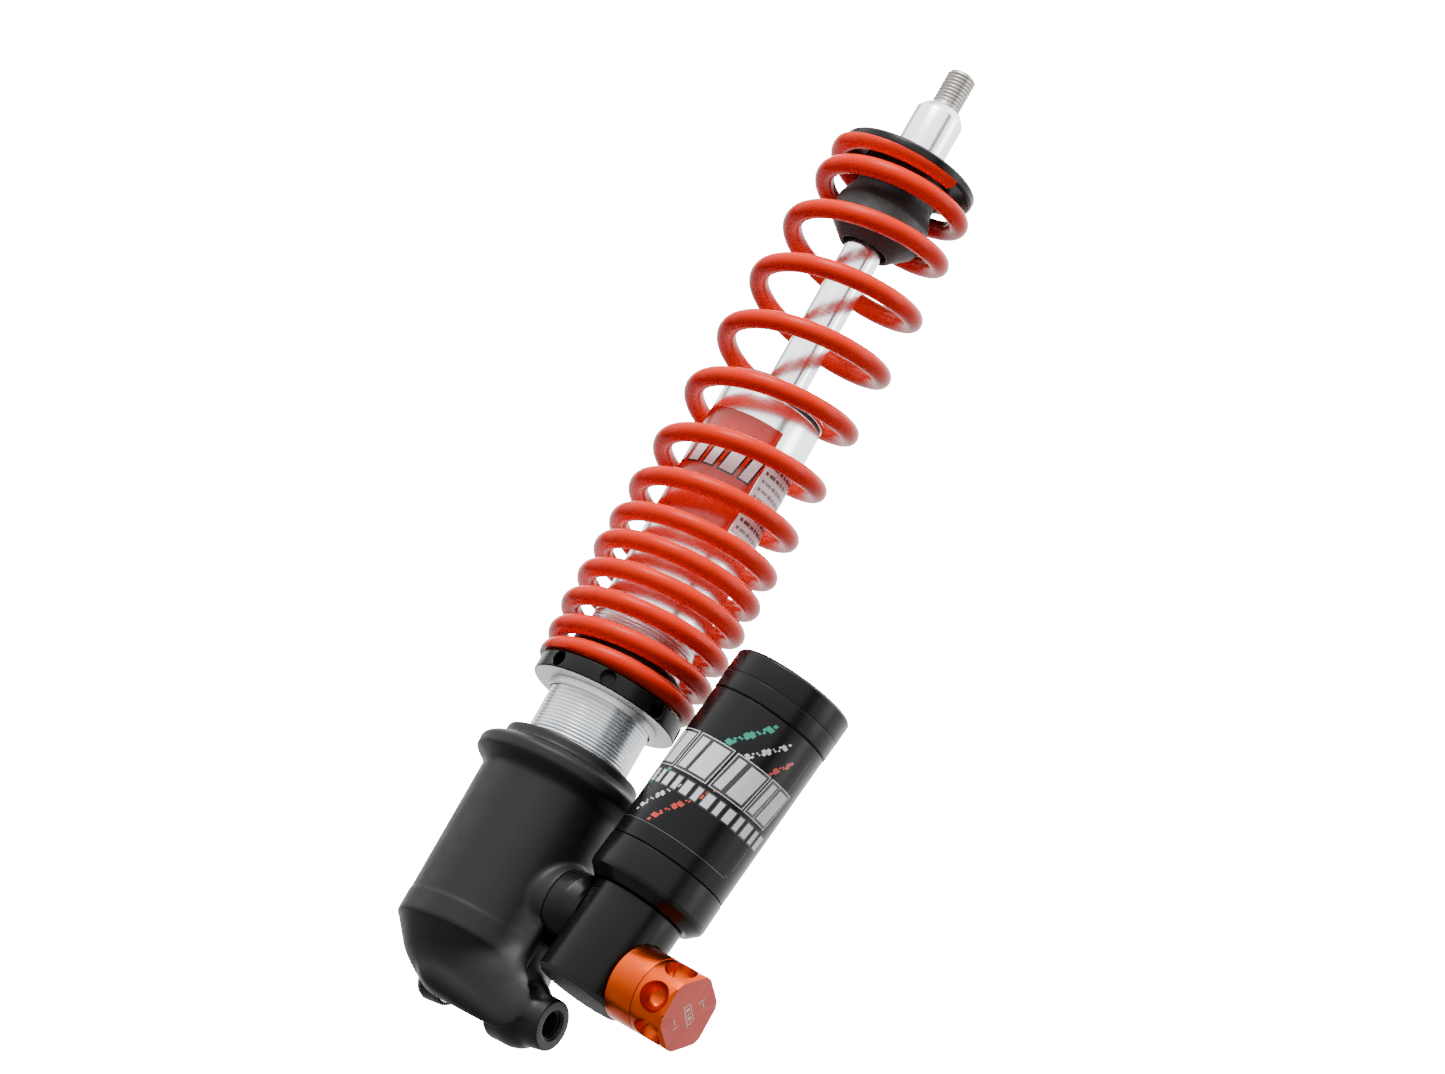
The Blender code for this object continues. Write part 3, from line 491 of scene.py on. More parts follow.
def surface_cells(field, inside, shape):
    """The grid cells that the surface passes through, and its middle in each."""
    def corner(values, offset):
        return values[tuple(slice(o, o + n) for o, n in zip(offset, shape))]

    offsets = [(i, j, k) for i in (0, 1) for j in (0, 1) for k in (0, 1)]
    filled = sum(corner(inside, o).astype(np.int8) for o in offsets)
    active = (filled > 0) & (filled < 8)
    cells = np.argwhere(active)
    total = np.zeros((len(cells), 3))
    count = np.zeros(len(cells))
    for axis in range(3):
        for offset in offsets:
            if offset[axis]:
                continue
            far = tuple(o + (n == axis) for n, o in enumerate(offset))
            a, b = corner(field, offset)[active], corner(field, far)[active]
            crosses = (a < 0) != (b < 0)
            t = np.where(crosses, a / np.where(crosses, a - b, 1.0), 0.0)
            point = np.array(offset, float) + np.outer(t, np.eye(3)[axis])
            total += point * crosses[:, None]
            count += crosses
    return active, cells, total / count[:, None]


def surface_quads(inside, shape, number):
    """A face across each grid edge that the surface crosses, between its four cells."""
    quads = []
    for axis in range(3):
        u, v = (axis + 1) % 3, (axis + 2) % 3
        start = [slice(1, n) for n in shape]
        start[axis] = slice(0, shape[axis])
        far = list(start)
        far[axis] = slice(1, shape[axis] + 1)
        a, b = inside[tuple(start)], inside[tuple(far)]
        first = np.array([0 if n == axis else 1 for n in range(3)])
        for flag, order in ((a & ~b, 1), (~a & b, -1)):
            at = np.argwhere(flag) + first
            back_u, back_v = np.eye(3, dtype=int)[u], np.eye(3, dtype=int)[v]
            around = [at - back_u - back_v, at - back_v, at, at - back_u][::order]
            quads.append(np.stack([number[tuple(c.T)] for c in around], 1))
    return np.concatenate(quads)


def pull_in(distance, verts, step):
    """Move each point down the distance's slope until it lies on the surface."""
    small = 0.05
    for _ in range(3):
        here = distance(*verts.T)
        slope = np.stack([(distance(*(verts + small * axis).T)
                           - distance(*(verts - small * axis).T)) / (2 * small)
                          for axis in np.eye(3)], 1)
        length2 = np.maximum((slope ** 2).sum(1), 0.2)
        move = -(here / length2)[:, None] * slope
        verts += np.clip(move, -step * 0.6, step * 0.6)


def surface(distance, low, high, step):
    """Mesh the zero surface of a signed distance."""
    axes = [np.arange(a, b + step, step) for a, b in zip(low, high)]
    field = distance(*np.meshgrid(*axes, indexing="ij"))
    inside = field < 0
    shape = np.array(field.shape) - 1
    active, cells, middles = surface_cells(field, inside, shape)
    number = np.full(shape, -1)
    number[active] = np.arange(len(cells))
    quads = surface_quads(inside, shape, number)
    verts = np.array(low) + (cells + middles) * step
    pull_in(distance, verts, step)
    return verts, quads


def casting():
    """The lower casting, the thread in its boss and the bush in its plain ear."""
    step = 0.55
    verts, quads = surface(casting_distance, (-31.0, -31.0, -14.0), (46.0, 31.0, 84.0), step)
    mesh = bpy.data.meshes.new("casting")
    mesh.from_pydata((verts * MM).tolist(), [], quads.tolist())
    obj = finished("casting", mesh, "casting", sharp=60.0)
    stands_for(obj, "damper_body", "black_casting", "lower_casting")
    skin = thread_mesh("boss_thread", 24.2, 43.0, M10_PITCH, 4.25, 4.95, 64, inward=True)
    stands_for(finished("boss_thread", skin, "casting", ACROSS), "damper_body", "black_casting")
    bush = lathe("plain_bush", [(5.0, 0, 0.3), (6.5, 0, 0.3), (6.5, 1.2), (6.0, 1.2),
                                (6.0, 8.5, 0.2), (5.0, 8.5, 0.2)], "steel",
                 Matrix.Translation((-6.4 * MM, 0, 0)) @ ACROSS, 64)
    stands_for(bush, "damper_body", "steel", "clevis_bush")


# ---- damper
def damper():
    """The tube with its thread, the gland and the wiper cap."""
    body = lathe("tube_body", [(14.5, 45.7), (17.0, 45.7), (17.0, 133.2), (17.5, 133.6, 0.2),
                               (17.5, 214.9, 0.3), (14.5, 214.9)], "alloy", segments=192)
    stands_for(body, "damper_body", "bright_alloy", "damper_tube")
    skin = thread_mesh("tube_thread", 78.0, 133.3, TUBE_PITCH, 17.68, 17.02, 160)
    stands_for(finished("tube_thread", skin, "thread", sharp=75.0), "damper_body",
               "bright_alloy")
    head = lathe("gland", [(6.8, 213.0), (6.8, 218.6), (16.6, 218.6, 0.2), (17.5, 217.9, 0.3),
                           (17.5, 216.35, 0.15), (16.4, 216.3), (14.2, 216.3), (14.2, 190.0),
                           (10.8, 190.0), (10.8, 213.0)], "alloy")
    stands_for(head, "damper_body", "bright_alloy", "seal_head")
    stands_for(lathe("gland_ring", ring(14.7, 17.1, 215.0, 216.2, 0.4), "rubber"),
               "damper_body", "rubber", "gland_o_ring")
    cap = lathe("wiper", [(6.8, 219.6), (9.0, 218.9), (16.2, 218.9, 0.3), (16.2, 220.9, 0.6),
                          (15.0, 221.9, 0.5), (8.2, 221.9, 0.4), (6.8, 221.0, 0.2)], "rubber")
    stands_for(cap, "damper_body", "rubber", "wiper_cap")


SPANNER_HOLES = 8
SPANNER_PHASE = math.radians(-17.0)
SPANNER_HEIGHT = 105.2  # middle of the spanner holes
GRUB_ANGLE = math.radians(140.5)
GRUB_HEIGHT = 104.2


def preload():
    """The collar, black with a bare lower face, and the seat that it lifts."""
    collar = lathe("collar", [
        (18.0, 99.9, 0.1), (19.1, 99.9, 0.3), (19.1, 102.2, 0.2), (24.9, 102.2, 0.1),
        (25.25, 102.6, 0.15), (25.25, 107.9, 0.3), (24.9, 108.2, 0.2), (21.6, 108.2, 0.1),
        (21.6, 106.2), (18.0, 106.2)], ("black", "bare"), segments=256)
    holes = []
    for number in range(SPANNER_HOLES):
        turn = Matrix.Rotation(SPANNER_PHASE + TAU * number / SPANNER_HOLES, 4, "Z")
        place = Matrix.Translation((0, 0, SPANNER_HEIGHT * MM)) @ turn @ ACROSS
        holes.append(cutter([(0, 22.0), (2.6, 22.0), (2.6, 24.95), (3.0, 25.3), (3.0, 27.0),
                             (0, 27.0)], place))
    turn = Matrix.Rotation(GRUB_ANGLE, 4, "Z") @ ACROSS
    holes.append(cutter([(0, 15.0), (1.6, 15.0), (1.6, 27.0), (0, 27.0)],
                        Matrix.Translation((0, 0, GRUB_HEIGHT * MM)) @ turn))
    carve(collar, holes)
    for face in collar.data.polygons:
        low = face.center.z / MM
        bare = low < 102.7 and face.normal.z < -0.9 or low < 102.1
        face.material_index = 1 if bare else 0
    stands_for(collar, "collar", "black_anodised", "preload_collar")
    seat = lathe("seat", [(18.0, 106.5), (21.3, 106.5, 0.2), (21.3, 107.9, 0.2),
                          (19.5, 108.1, 0.4), (19.4, 118.2, 0.4), (18.9, 119.0, 0.2),
                          (18.0, 119.0, 0.2)], "plastic")
    stands_for(seat, "seat", "black_plastic", "spring_seat")


# ---- spring
# Turns of the wire, and the height of its centre line there.
COURSE = ((-0.25, 109.9), (0.0, 110.8), (0.25, 111.75), (0.5, 113.0), (0.75, 114.9),
          (1.0, 117.3), (2.0, 127.4), (3.0, 138.1), (4.0, 148.9), (5.0, 159.3), (6.0, 172.4),
          (7.0, 188.8), (8.0, 210.0), (9.0, 232.1), (10.0, 254.2), (11.0, 275.9),
          (12.0, 295.2), (12.5, 301.0), (13.0, 304.8), (13.35, 305.8))
FIRST_TURN, LAST_TURN = COURSE[0][0], COURSE[-1][0]
WIRE = 3.25  # radius of the wire
COIL = 25.5  # radius of the coils' centre line
SEAT_TOP, PLATE_BOTTOM = 108.5, 307.2  # the faces that the spring's ends press on
START_ANGLE = math.radians(215.0)
SPLIT_TURN = 5.0  # the two pieces of the spring meet here


def smooth(value):
    """An even S-shaped step from 0 to 1."""
    value = min(max(value, 0.0), 1.0)
    return value * value * (3.0 - 2.0 * value)


def wire_height(turn):
    """Height of the wire's centre line, through the course's points."""
    last = len(COURSE) - 1
    index = min(max(i for i in range(last + 1) if COURSE[i][0] <= turn or i == 0), last - 1)
    slopes = []
    for end in (index, index + 1):
        before, after = COURSE[max(end - 1, 0)], COURSE[min(end + 1, last)]
        slopes.append((after[1] - before[1]) / (after[0] - before[0]))
    span = COURSE[index + 1][0] - COURSE[index][0]
    t = (turn - COURSE[index][0]) / span
    return (COURSE[index][1] * (1 + 2 * t) * (1 - t) ** 2 + slopes[0] * span * t * (1 - t) ** 2
            + COURSE[index + 1][1] * t * t * (3 - 2 * t) + slopes[1] * span * t * t * (t - 1))


def coil_radius(turn):
    """Radius of the centre line, smaller at both ends."""
    lower = 1.9 * (1.0 - smooth(turn / 2.0))
    upper = 2.5 * smooth((turn - 10.2) / 2.2)
    return COIL - lower - upper


def wire_section(turn, sides):
    """One ring of points round the wire, ground flat where it meets its seats."""
    z = wire_height(turn)
    room = min(WIRE, z - SEAT_TOP, PLATE_BOTTOM - z)
    centre = z + (WIRE - room) * (1.0 if z > 200.0 else -1.0)
    angle = START_ANGLE + TAU * turn
    slope = (wire_height(turn + 0.01) - wire_height(turn - 0.01)) / 0.02
    lean = math.atan2(slope, TAU * coil_radius(turn))
    points = []
    for side in range(sides):
        around = TAU * side / sides
        out = coil_radius(turn) + WIRE * math.cos(around)
        up = WIRE * math.sin(around)
        back = up * math.sin(lean)
        height = min(max(centre + up * math.cos(lean), SEAT_TOP), PLATE_BOTTOM)
        points.append((out * math.cos(angle) + back * math.sin(angle),
                       out * math.sin(angle) - back * math.cos(angle), height))
    return points


def spring_part(name, first, last):
    """A stretch of the spring's wire between two turns."""
    sides = 20
    count = round((last - first) * (72))
    verts, faces = [], []
    for number in range(count + 1):
        turn = first + (last - first) * number / count
        verts += wire_section(min(max(turn, FIRST_TURN + 1e-4), LAST_TURN - 1e-4), sides)
    for number in range(count):
        for side in range(sides):
            low, after = number * sides, (side + 1) % sides
            faces.append((low + side, low + after, low + sides + after, low + sides + side))
    faces.append(tuple(range(sides))[::-1])
    faces.append(tuple(range(count * sides, (count + 1) * sides)))
    return finished(name, to_mesh(name, verts, faces, merge=False), "red", sharp=40.0)


def spring():
    """Two pieces of wire that meet at SPLIT_TURN: one from the seat up, one up to the spring
    plate.
    """
    lower = spring_part("spring_lower", FIRST_TURN, SPLIT_TURN)
    upper = spring_part("spring_upper", SPLIT_TURN, LAST_TURN)
    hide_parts("coil_spring")
    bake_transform(lower)
    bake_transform(upper)


# ---- rod and top mount
def rod():
    """The rod, bump stop, spring plate, spacer and threaded stud."""
    bar = lathe("rod_bar", [(0, 155.0), (3.6, 155.0), (4.0, 155.5), (4.0, 181.0), (6.5, 181.0),
                            (6.5, 307.2), (5.0, 307.2), (5.0, 319.5), (0, 319.5)], "chrome",
                segments=96)
    stands_for(bar, "rod", "chrome", "piston_rod")
    stop = lathe("bump_rubber", [
        (6.8, 281.2), (7.9, 281.2, 0.2), (7.9, 278.6, 0.3), (8.9, 278.2, 0.4), (15.2, 284.2, 1.5),
        (16.2, 286.4, 1.0), (16.2, 291.6, 1.8), (15.0, 295.2, 2.0), (13.7, 298.2, 2.5),
        (13.4, 301.2, 2.0), (15.0, 303.4, 1.0), (15.0, 307.2), (6.8, 307.2)], "rubber")
    stands_for(stop, "rod", "rubber", "bump_stop")
    plate = lathe("top_plate", [(5.3, 307.5), (23.0, 307.5, 0.4), (23.7, 308.3, 0.5),
                                (23.7, 310.6, 0.9), (22.6, 311.5, 0.8), (5.3, 311.5)],
                  "black", segments=192)
    stands_for(plate, "rod", "black_anodised", "upper_spring_plate")
    spacer = lathe("spacer", [(5.3, 311.8), (8.4, 311.8, 0.15), (8.4, 331.0, 0.9),
                              (6.5, 333.7, 0.35), (5.3, 333.7)], "alloy", segments=96)
    stands_for(spacer, "rod", "bright_alloy", "top_spacer")
    core = lathe("stud_core", [(0, 319.8), (4.15, 319.8), (4.15, 347.2, 0.8), (3.4, 348.0, 0.5),
                               (0, 348.0)], "steel", segments=64)
    stands_for(core, "rod", "steel", "top_stud")
    skin = thread_mesh("stud_thread", 331.0, 347.5, M10_PITCH, 4.93, 4.1, 96)
    stands_for(finished("stud_thread", skin, "steel", sharp=75.0), "rod", "steel")


# ---- printed marks
def slab(x, y, width, height, slant=0.0):
    """Corners of a small upright mark, leaning by slant over its height."""
    w, h, d = width / 2, height / 2, slant * height / 2
    return [(x - w - d, y - h), (x + w - d, y - h), (x + w + d, y + h), (x - w + d, y + h)]


def flat_marks(name, outlines, height, finish, place):
    """Thin flat marks on an end face."""
    verts, faces = [], []
    for outline in outlines:
        faces.append(tuple(range(len(verts), len(verts) + len(outline))))
        verts += [(x, y, height) for x, y in outline]
    return finished(name, to_skin(name, verts, faces), finish, place)


def clipped(outline, limit, side):
    """The part of an outline whose first coordinate is on one side of a limit."""
    kept = []
    for (x0, y0), (x1, y1) in zip(outline, outline[1:] + outline[:1]):
        in0, in1 = side * (x0 - limit) >= 0, side * (x1 - limit) >= 0
        if in0:
            kept.append((x0, y0))
        if in0 != in1:
            t = (limit - x0) / (x1 - x0)
            kept.append((limit, y0 + t * (y1 - y0)))
    return kept


def wrapped(name, outlines, radius, finish, place=UPRIGHT, strip=3.0):
    """Outlines in (degrees round the axis, height), laid on a cylinder in narrow strips."""
    verts, faces = [], []
    for outline in outlines:
        first = math.floor(min(p[0] for p in outline) / strip)
        last = math.ceil(max(p[0] for p in outline) / strip)
        for number in range(first, last):
            part = clipped(outline, number * strip, 1)
            part = clipped(part, (number + 1) * strip, -1) if len(part) > 2 else part
            if len(part) < 3:
                continue
            faces.append(tuple(range(len(verts), len(verts) + len(part))))
            for angle, height in part:
                turn = math.radians(angle)
                verts.append((radius * math.cos(turn), radius * math.sin(turn), height))
    return finished(name, to_skin(name, verts, faces), finish, place)


def brushed(start, end, count, wide, tall):
    """A streak of small dabs in two ragged rows from one place to another."""
    dabs = []
    for number in range(count):
        t = number / (count - 1)
        wave = math.sin(number * 2.4) * 0.5
        for row in (0, 1):
            x = start[0] + (end[0] - start[0]) * t + row * 1.6 + wave * 0.8
            y = start[1] + (end[1] - start[1]) * t + row * 1.9 + wave * 0.5
            size = 0.75 + 0.35 * math.sin(number * 1.7 + row * 2.1)
            dabs.append(slab(x, y, wide * size, tall * size, 0.9))
    return dabs


# Middle and width in degrees of the slanted bars on the reservoir.
BARS = ((-150.0, 12.0), (-132.5, 7.0), (-119.0, 15.0), (-97.5, 9.0), (-80.0, 18.0),
        (-57.5, 8.0), (-40.0, 17.0), (-20.0, 6.0), (-4.5, 14.0))
SMALL_BARS = 14
TUBE_BARS = 5
TICK_ROWS, TICKS = 9, 6


def grown(outline, across, along):
    """An outline of four corners moved outwards."""
    middle = (sum(p[0] for p in outline) / 4, sum(p[1] for p in outline) / 4)
    return [(x + math.copysign(across, x - middle[0]), y + math.copysign(along, y - middle[1]))
            for x, y in outline]


def reservoir_print():
    """Coloured streaks, slanted bars and a line of small bars in place of lettering.

    The layers lie a few hundredths of a millimetre apart, outside the tube's 20.6 mm.
    """
    on = "damper_body", "black_anodised"
    bars = [slab(middle, 80.6, width, 11.6, 0.45) for middle, width in BARS]
    small = [slab(-139.0 + 11.3 * number, 69.6, 5.2 + 2.4 * (number % 2), 4.6, 0.25)
             for number in range(SMALL_BARS)]
    streaks = {
        "green_ink": brushed((-77.3, 87.2), (-50.5, 99.0), 9, 4.6, 1.5)
        + brushed((-144.0, 62.6), (-114.0, 70.6), 8, 4.6, 1.4),
        "white_ink": brushed((-56.5, 86.5), (-30.5, 97.2), 9, 3.4, 1.1)
        + brushed((-117.5, 57.0), (-92.0, 67.4), 8, 3.4, 1.1),
        "red_ink": brushed((-28.0, 88.4), (-18.0, 93.2), 5, 3.6, 1.3)
        + brushed((-96.0, 55.4), (-62.0, 71.4), 10, 4.0, 1.4)}
    for key, outlines in streaks.items():
        stands_for(wrapped("streak_" + key, outlines, 20.64, key, RESERVOIR), *on)
    for name, outlines, radius, key in (
            ("bar_line", [grown(bar, 3.4, 1.15) for bar in bars], 20.66, "white_ink"),
            ("bar_edge", [grown(bar, 2.5, 0.85) for bar in bars], 20.69, "black_ink"),
            ("bar_face", bars, 20.72, "white_ink"),
            ("small_edge", [grown(bar, 1.2, 0.5) for bar in small], 20.69, "black_ink"),
            ("small_face", small, 20.72, "white_ink")):
        stands_for(wrapped(name, outlines, radius, key, RESERVOIR), *on)
    edge = [slab(-78.0, 54.0, 148.0, 0.22), slab(1.0, 79.0, 0.7, 43.0),
            slab(-2.4, 54.9, 5.4, 0.2)]
    stands_for(wrapped("film_edge", edge, 20.63, "film_edge", RESERVOIR), *on)


def tube_label():
    """Red film round the tube with slanted bars, and a pale panel with rows of ticks."""
    on = "damper_body", "bright_alloy"
    film = [[(-230.0, 166.0), (-32.0, 166.0), (-32.0, 205.7), (-230.0, 205.7)]]
    panel = [[(-31.0, 169.0), (22.0, 169.0), (22.0, 197.5), (-31.0, 197.5)]]
    bars = [slab(-129.0 + 21.5 * number, 189.5, 11.0 + 4.0 * (number % 2), 8.2, 0.6)
            for number in range(TUBE_BARS)]
    ticks = []
    for row in range(TICK_ROWS):
        start = -27.0
        for number in range(TICKS):
            wide = 3.6 + 2.6 * ((number * 5 + row * 3) % 3)
            ticks.append(slab(start + wide / 2, 171.6 + 2.9 * row, wide, 1.15))
            start += wide + 2.0
    for name, outlines, radius, key in (
            ("tube_film", film, 17.56, "red_film"), ("tube_panel", panel, 17.56, "white_ink"),
            ("tube_bar_edge", [grown(bar, 2.2, 0.7) for bar in bars], 17.60, "black_ink"),
            ("tube_bars", bars, 17.64, "white_ink"), ("tube_ticks", ticks, 17.60, "grey_ink")):
        stands_for(wrapped(name, outlines, radius, key), *on)


# ---- reservoir
def reservoir():
    """The head with its bridge, the tube between two rings, the end cap and the valve's lid."""
    head = lathe("head_block", [
        (0, 0), (14.2, 0, 0.3), (15.65, 1.5, 0.4), (15.65, 33.4, 0.3), (13.0, 33.4), (13.0, 48.3),
        (17.2, 48.3), (17.2, 56.0), (9.0, 56.0), (9.0, 20.0), (3.0, 20.0), (3.0, 14.0),
        (0, 14.0)], ("black", "black_end"), RESERVOIR)
    seat = cutter([(0, 14.0), (13.35, 14.0), (13.35, 21.0), (0, 21.0)], KNOBS, 96)
    bore = cutter([(0, -8.8), (6.3, -8.8), (6.3, 21.0), (0, 21.0)], KNOBS)
    carve(head, [seat, bore])
    for face in head.data.polygons:
        face.material_index = 1 if face.normal.z < -0.6 else 0
    stands_for(head, "damper_body", "black_anodised", "reservoir_head")
    bridge = Matrix.Translation((0, 0, PORT_HEIGHT * MM)) @ ACROSS
    boss = lathe("port_boss", [(5.3, 30.8, 0.1), (13.4, 30.8, 0.2), (13.2, 32.0, 1.0),
                               (11.6, 35.4, 1.0), (10.6, 36.5), (5.3, 36.5)], "black",
                 bridge, 96)
    stands_for(boss, "damper_body", "black_anodised")
    stands_for(lathe("spacer_ring", ring(7.4, 13.4, 26.3, 30.9, 0.12), "black", bridge, 96),
               "damper_body", "black_anodised", "bridge_spacer")
    base = lathe("base_ring", [(13.3, 33.7), (17.6, 33.7, 0.4), (20.7, 36.8, 0.5),
                               (20.95, 38.2, 0.4), (20.75, 47.7, 0.15), (20.4, 48.0, 0.1),
                               (13.3, 48.0)], "black", RESERVOIR, 192)
    stands_for(base, "damper_body", "black_anodised", "reservoir_base_ring")
    tube = lathe("canister", [(17.5, 48.2), (20.4, 48.2, 0.1), (20.6, 48.4, 0.1),
                              (20.6, 103.7, 0.2), (20.3, 104.0, 0.1), (17.5, 104.0)], "black",
                 RESERVOIR, 192)
    stands_for(tube, "damper_body", "black_anodised", "reservoir_tube")
    cap = lathe("end_cap", [
        (0, 96.3), (17.2, 96.3), (17.2, 104.1), (20.5, 104.1, 0.1), (20.85, 104.5, 0.15),
        (20.9, 110.1, 0.15), (20.75, 110.3), (20.75, 110.5), (20.9, 110.7, 0.15),
        (20.9, 117.8, 0.6), (19.9, 118.8, 0.5), (8.4, 118.8, 0.3), (8.0, 118.3), (8.0, 111.8),
        (3.2, 111.8), (3.2, 103.8), (0, 103.8)], "black", RESERVOIR, 192)
    stands_for(cap, "damper_body", "black_anodised", "reservoir_cap")
    lid = lathe("valve_lid", [(2.9, 113.9), (4.2, 113.9, 0.2), (4.2, 118.2, 0.5), (0, 118.2),
                              (0, 117.2), (2.9, 117.2)], "plastic", RESERVOIR, 48)
    stands_for(lid, "damper_body", "black_plastic", "gas_valve_cap")


KNOB = 12.85  # radius of both knobs
KNOB_FACE = 38.2
KNOB_PITS = 6
PIT_PHASE = math.radians(-19.0)
MARK_ANGLE = math.radians(65.0)


def knobs():
    """The two adjuster knobs, the outer one with facets, finger pits and etched lines."""
    inner = lathe("inner_knob", [(3.9, 14.3), (KNOB, 14.3, 0.3), (KNOB, 25.1, 0.12),
                                 (3.9, 25.1, 0.1)], "orange", KNOBS, 192)
    stands_for(inner, "high_speed", "orange_anodised", "high_speed_knob")
    outer = lathe("outer_knob", [(2.3, 25.35), (KNOB, 25.35, 0.12), (KNOB, KNOB_FACE, 0.25),
                                 (0, KNOB_FACE), (0, 36.2), (2.3, 36.2)],
                  ("orange", "orange_end"), KNOBS, 192)
    cuts = []
    for number in range(KNOB_PITS):
        turn = KNOBS @ Matrix.Rotation(PIT_PHASE + TAU * number / KNOB_PITS, 4, "Z")
        facet = (turn @ Matrix.Translation((12.2 * MM, 0, 37.55 * MM))
                 @ Matrix.Rotation(math.pi / 4, 4, "Y"))
        cuts.append(cutter([(0, 0), (11.0, 0), (11.0, 8.0), (0, 8.0)], facet, 16))
        pit = (turn @ Matrix.Translation((12.2 * MM, 0, 32.0 * MM))
               @ Matrix.Rotation(math.radians(80.0), 4, "Y"))
        cuts.append(cutter([(0, -5.6), (1.7, -5.3), (3.3, -4.3), (4.5, -2.6), (5.2, 0),
                            (5.2, 7.0), (0, 7.0)], pit, 72))
    carve(outer, cuts)
    for face in outer.data.polygons:
        end = face.center.z > (KNOB_FACE - 0.01) * MM and face.normal.z > 0.99
        face.material_index = 1 if end else 0
    stands_for(outer, "low_speed", "orange_anodised", "low_speed_knob")
    end = KNOBS @ Matrix.Rotation(MARK_ANGLE, 4, "Z")
    marks = [slab(x, y, w, h) for x, y, w, h in (
        (0, -1.4, 9.0, 0.4), (-3.6, 0, 0.45, 1.9), (-2.0, 0, 1.3, 1.6), (0, 0, 0.45, 1.9),
        (1.6, 0, 1.3, 1.6), (3.6, 0, 0.45, 1.9), (0, 1.4, 7.0, 0.35), (-1.0, 6.0, 0.4, 2.8),
        (0.8, 6.4, 2.0, 0.4), (-1.6, -6.2, 2.6, 0.4), (0.8, -6.4, 0.4, 2.2))]
    etched = flat_marks("knob_marks", marks, KNOB_FACE + 0.03, "etched", end)
    stands_for(etched, "low_speed", "orange_anodised")


# ---- studio and camera
# The surroundings.
WORLD_SPAN = (-0.6, 0.7)  # sines of the elevations between which they brighten
WORLD_LOW = 0.06  # their strength towards the floor
WORLD_HIGH = 0.75  # and overhead
WORLD_SEEN = 24.0  # strength where the camera sees them, pure white
WORLD_MIRRORED = 3.4  # how much brighter the surroundings are in reflections
WORLD_FILL = 0.13  # extra brightness at every height, in reflections only
FLAGS = ((-19.0, 8.0, 2.5, 0.97), (172.0, 9.0, 4.0, 0.9))  # azimuth, half width, edge, depth

FLOOR_REACH = 60000  # millimetres
FLOOR_HEIGHT = -1.3  # metres, low enough for a camera that looks up
PHOTO_WIDTH = 1445  # units of the picture
SENSOR = 36.0  # millimetres
UNITS_PER_MM = 3.115  # scale of the object in the picture
CAMERA_AWAY = 2.0  # metres
CAMERA_AIM = Vector((0.0, 0.0, 172.0))
CAMERA_SHIFT = (4.69, -4.30)  # right and up, to frame the object like the photograph


def studio():
    """White surroundings with two dark flags."""
    world = bpy.data.worlds.new("white_studio")
    bpy.context.scene.world = world
    world.use_nodes = True
    tree = world.node_tree
    ground = tree.nodes["Background"]

    def math_node(operation, *values):
        made = tree.nodes.new("ShaderNodeMath")
        made.operation = operation
        for socket, value in zip(made.inputs, values):
            if isinstance(value, bpy.types.NodeSocket):
                tree.links.new(value, socket)
            else:
                socket.default_value = value
        return made.outputs[0]

    def ramp(value, *limits):
        """Stretch a value from one span to another."""
        made = tree.nodes.new("ShaderNodeMapRange")
        tree.links.new(value, made.inputs["Value"])
        for socket, limit in zip(("From Min", "From Max", "To Min", "To Max"), limits):
            made.inputs[socket].default_value = limit
        return made

    def flag(azimuth, centre, half, soft):
        """1 outside a dark strip of the surroundings and 0 inside it."""
        off = math_node("ABSOLUTE", math_node("SUBTRACT", azimuth, math.radians(centre)))
        made = ramp(off, math.radians(half - soft), math.radians(half + soft))
        made.interpolation_type = "SMOOTHSTEP"
        return made.outputs[0]

    way = tree.nodes.new("ShaderNodeTexCoord").outputs["Generated"]
    split = tree.nodes.new("ShaderNodeSeparateXYZ")
    tree.links.new(way, split.inputs[0])
    azimuth = math_node("ARCTAN2", split.outputs[1], split.outputs[0])
    height = ramp(split.outputs[2], *WORLD_SPAN, WORLD_LOW, WORLD_HIGH)
    path = tree.nodes.new("ShaderNodeLightPath")
    glossy = path.outputs["Is Glossy Ray"]
    light = math_node("ADD", height.outputs[0], math_node("MULTIPLY", glossy, WORLD_FILL))
    for centre, half, soft, depth in FLAGS:
        strip = flag(azimuth, centre, half, soft)
        light = math_node("MULTIPLY", light,
                          math_node("ADD", math_node("MULTIPLY", strip, depth), 1.0 - depth))
    mirrored = math_node("ADD", 1.0, math_node("MULTIPLY", glossy, WORLD_MIRRORED))
    light = math_node("MULTIPLY", light, mirrored)
    seen = math_node("MULTIPLY", path.outputs["Is Camera Ray"], WORLD_SEEN)
    tree.links.new(math_node("MAXIMUM", light, seen), ground.inputs["Strength"])
    ground.inputs["Color"].default_value = (1.0, 1.0, 1.0, 1.0)


def lay_floor():
    """A pale floor that doesn't show in the object's light or reflections."""
    reach = FLOOR_REACH
    mesh = to_mesh("floor", [(-reach, -reach, 0), (reach, -reach, 0), (reach, reach, 0),
                             (-reach, reach, 0)], [(0, 1, 2, 3)])
    floor = bpy.data.objects.new("floor", mesh)
    floor.location = (0, 0, FLOOR_HEIGHT)
    paper = Finish("paper", 0.9, Emission_Color=(1.0, 1.0, 1.0, 1.0), Emission_Strength=1.6)
    paper.colours(paper.between(paper.noise(3.0), 0.0, 1.0), (0.80, 0.80, 0.80),
                  (0.82, 0.82, 0.82))
    mesh.materials.append(paper.material)
    floor.visible_diffuse = False
    floor.visible_glossy = False
    bpy.context.scene.collection.objects.link(floor)


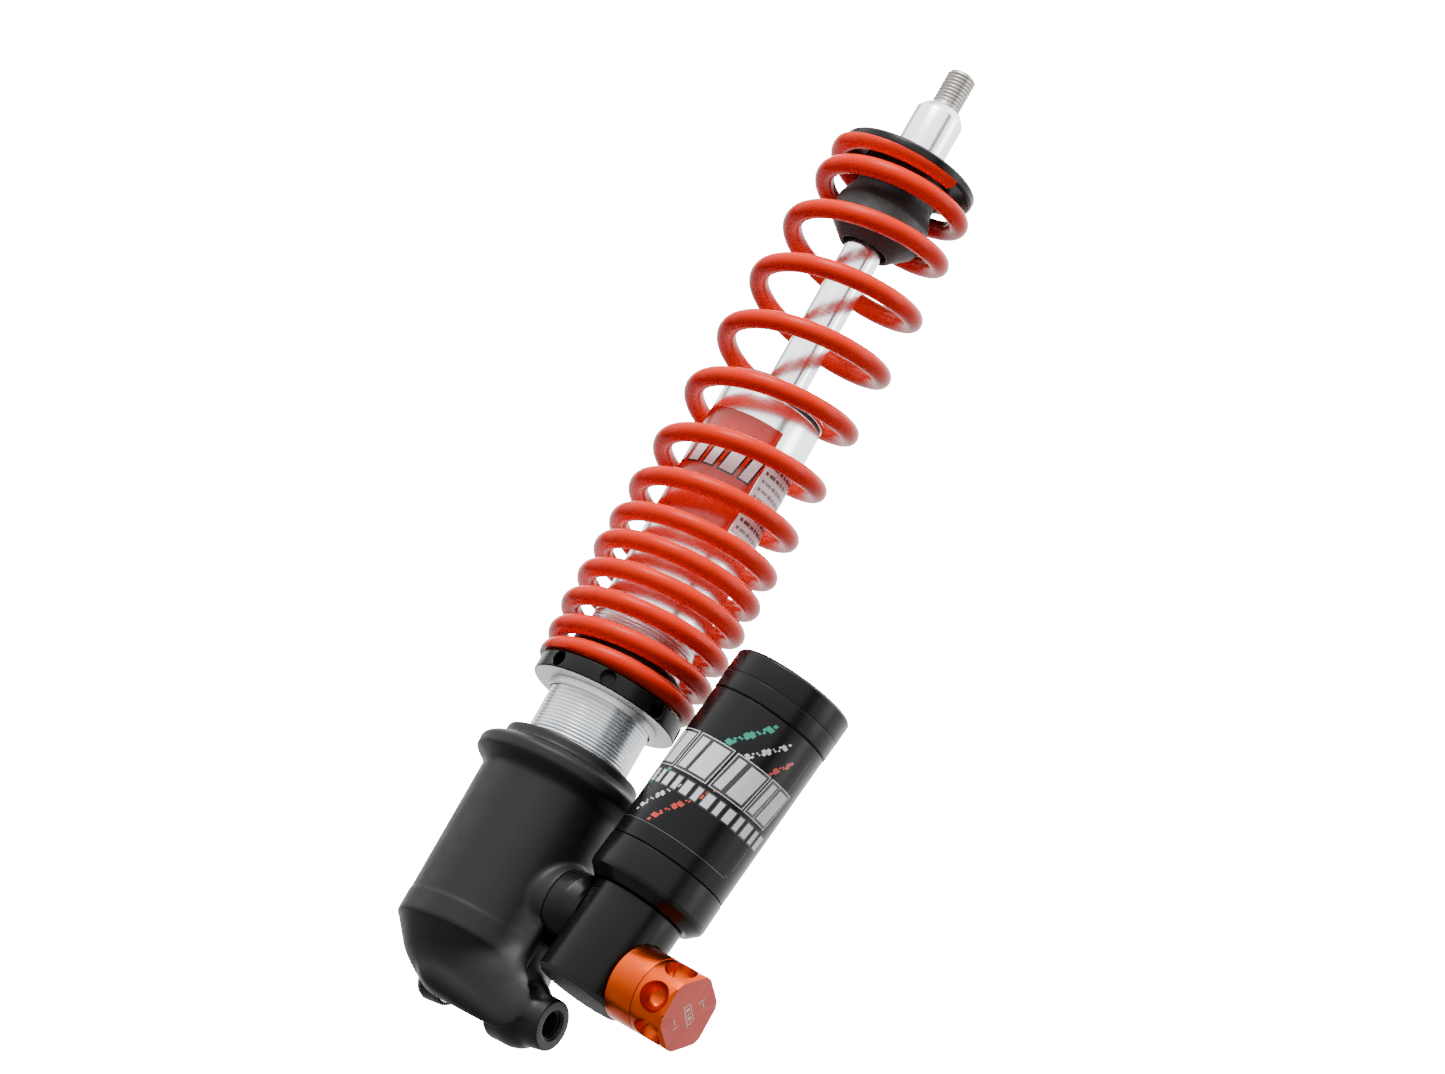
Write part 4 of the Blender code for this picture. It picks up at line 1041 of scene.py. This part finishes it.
def camera_axes():
    """Right, up and back of the photograph's camera."""
    azimuth, below, roll = math.radians(35.0), math.radians(15.5), math.radians(29.67)
    back = Vector((math.sin(azimuth) * math.cos(below), -math.cos(azimuth) * math.cos(below),
                   -math.sin(below)))
    level = Vector((math.cos(azimuth), math.sin(azimuth), 0.0))
    above = back.cross(level)
    right = level * math.cos(roll) + above * math.sin(roll)
    return right, back.cross(right), back


def camera():
    """The camera at the photograph's viewing angle."""
    right, up, back = camera_axes()
    data = bpy.data.cameras.new("camera")
    data.sensor_width = SENSOR
    data.lens = UNITS_PER_MM * CAMERA_AWAY * 1000 / PHOTO_WIDTH * SENSOR
    data.clip_start = 0.1
    data.clip_end = 50.0
    obj = bpy.data.objects.new("camera", data)
    place = Matrix((right, up, back)).transposed().to_4x4()
    aim = CAMERA_AIM + right * CAMERA_SHIFT[0] + up * CAMERA_SHIFT[1]
    place.translation = aim * MM + back * CAMERA_AWAY
    obj.matrix_world = place
    bpy.context.scene.collection.objects.link(obj)
    bpy.context.scene.camera = obj


def area(name, azimuth, elevation, reach, size, power):
    """A softbox seen from the object at that azimuth and elevation."""
    turn, rise = math.radians(azimuth), math.radians(elevation)
    way = Vector((math.cos(turn) * math.cos(rise), math.sin(turn) * math.cos(rise),
                  math.sin(rise)))
    light = bpy.data.lights.new(name, "AREA")
    light.shape = "RECTANGLE"
    light.size, light.size_y = size
    light.energy = power
    obj = bpy.data.objects.new(name, light)
    obj.location = Vector((0.0, 0.0, 0.17)) + way * reach
    obj.rotation_mode = "QUATERNION"
    obj.rotation_quaternion = (-way).to_track_quat("-Z", "Y")
    bpy.context.scene.collection.objects.link(obj)


SLOTS = {"black_casting": "casting", "black_anodised": "black", "bright_alloy": "alloy",
         "chrome": "chrome", "steel": "steel", "red_powder": "red", "orange_anodised": "orange",
         "rubber": "rubber", "black_plastic": "plastic", "bronze": "bronze"}


def repaint():
    """Give every carried-over node the finish of its slot."""
    for part in frame["record"]["subparts"]:
        node = frame["nodes"][part["node"]]
        node.data.materials.clear()
        node.data.materials.append(FINISH[SLOTS[part["material_slot"]]])


repaint()
casting()
damper()
preload()
spring()
rod()
reservoir()
reservoir_print()
tube_label()
knobs()
studio()
lay_floor()
camera()
area("key", -95.0, 48.0, 1.4, (0.6, 0.9), 31.0)
area("side", 20.0, 20.0, 1.6, (0.5, 1.2), 8.0)
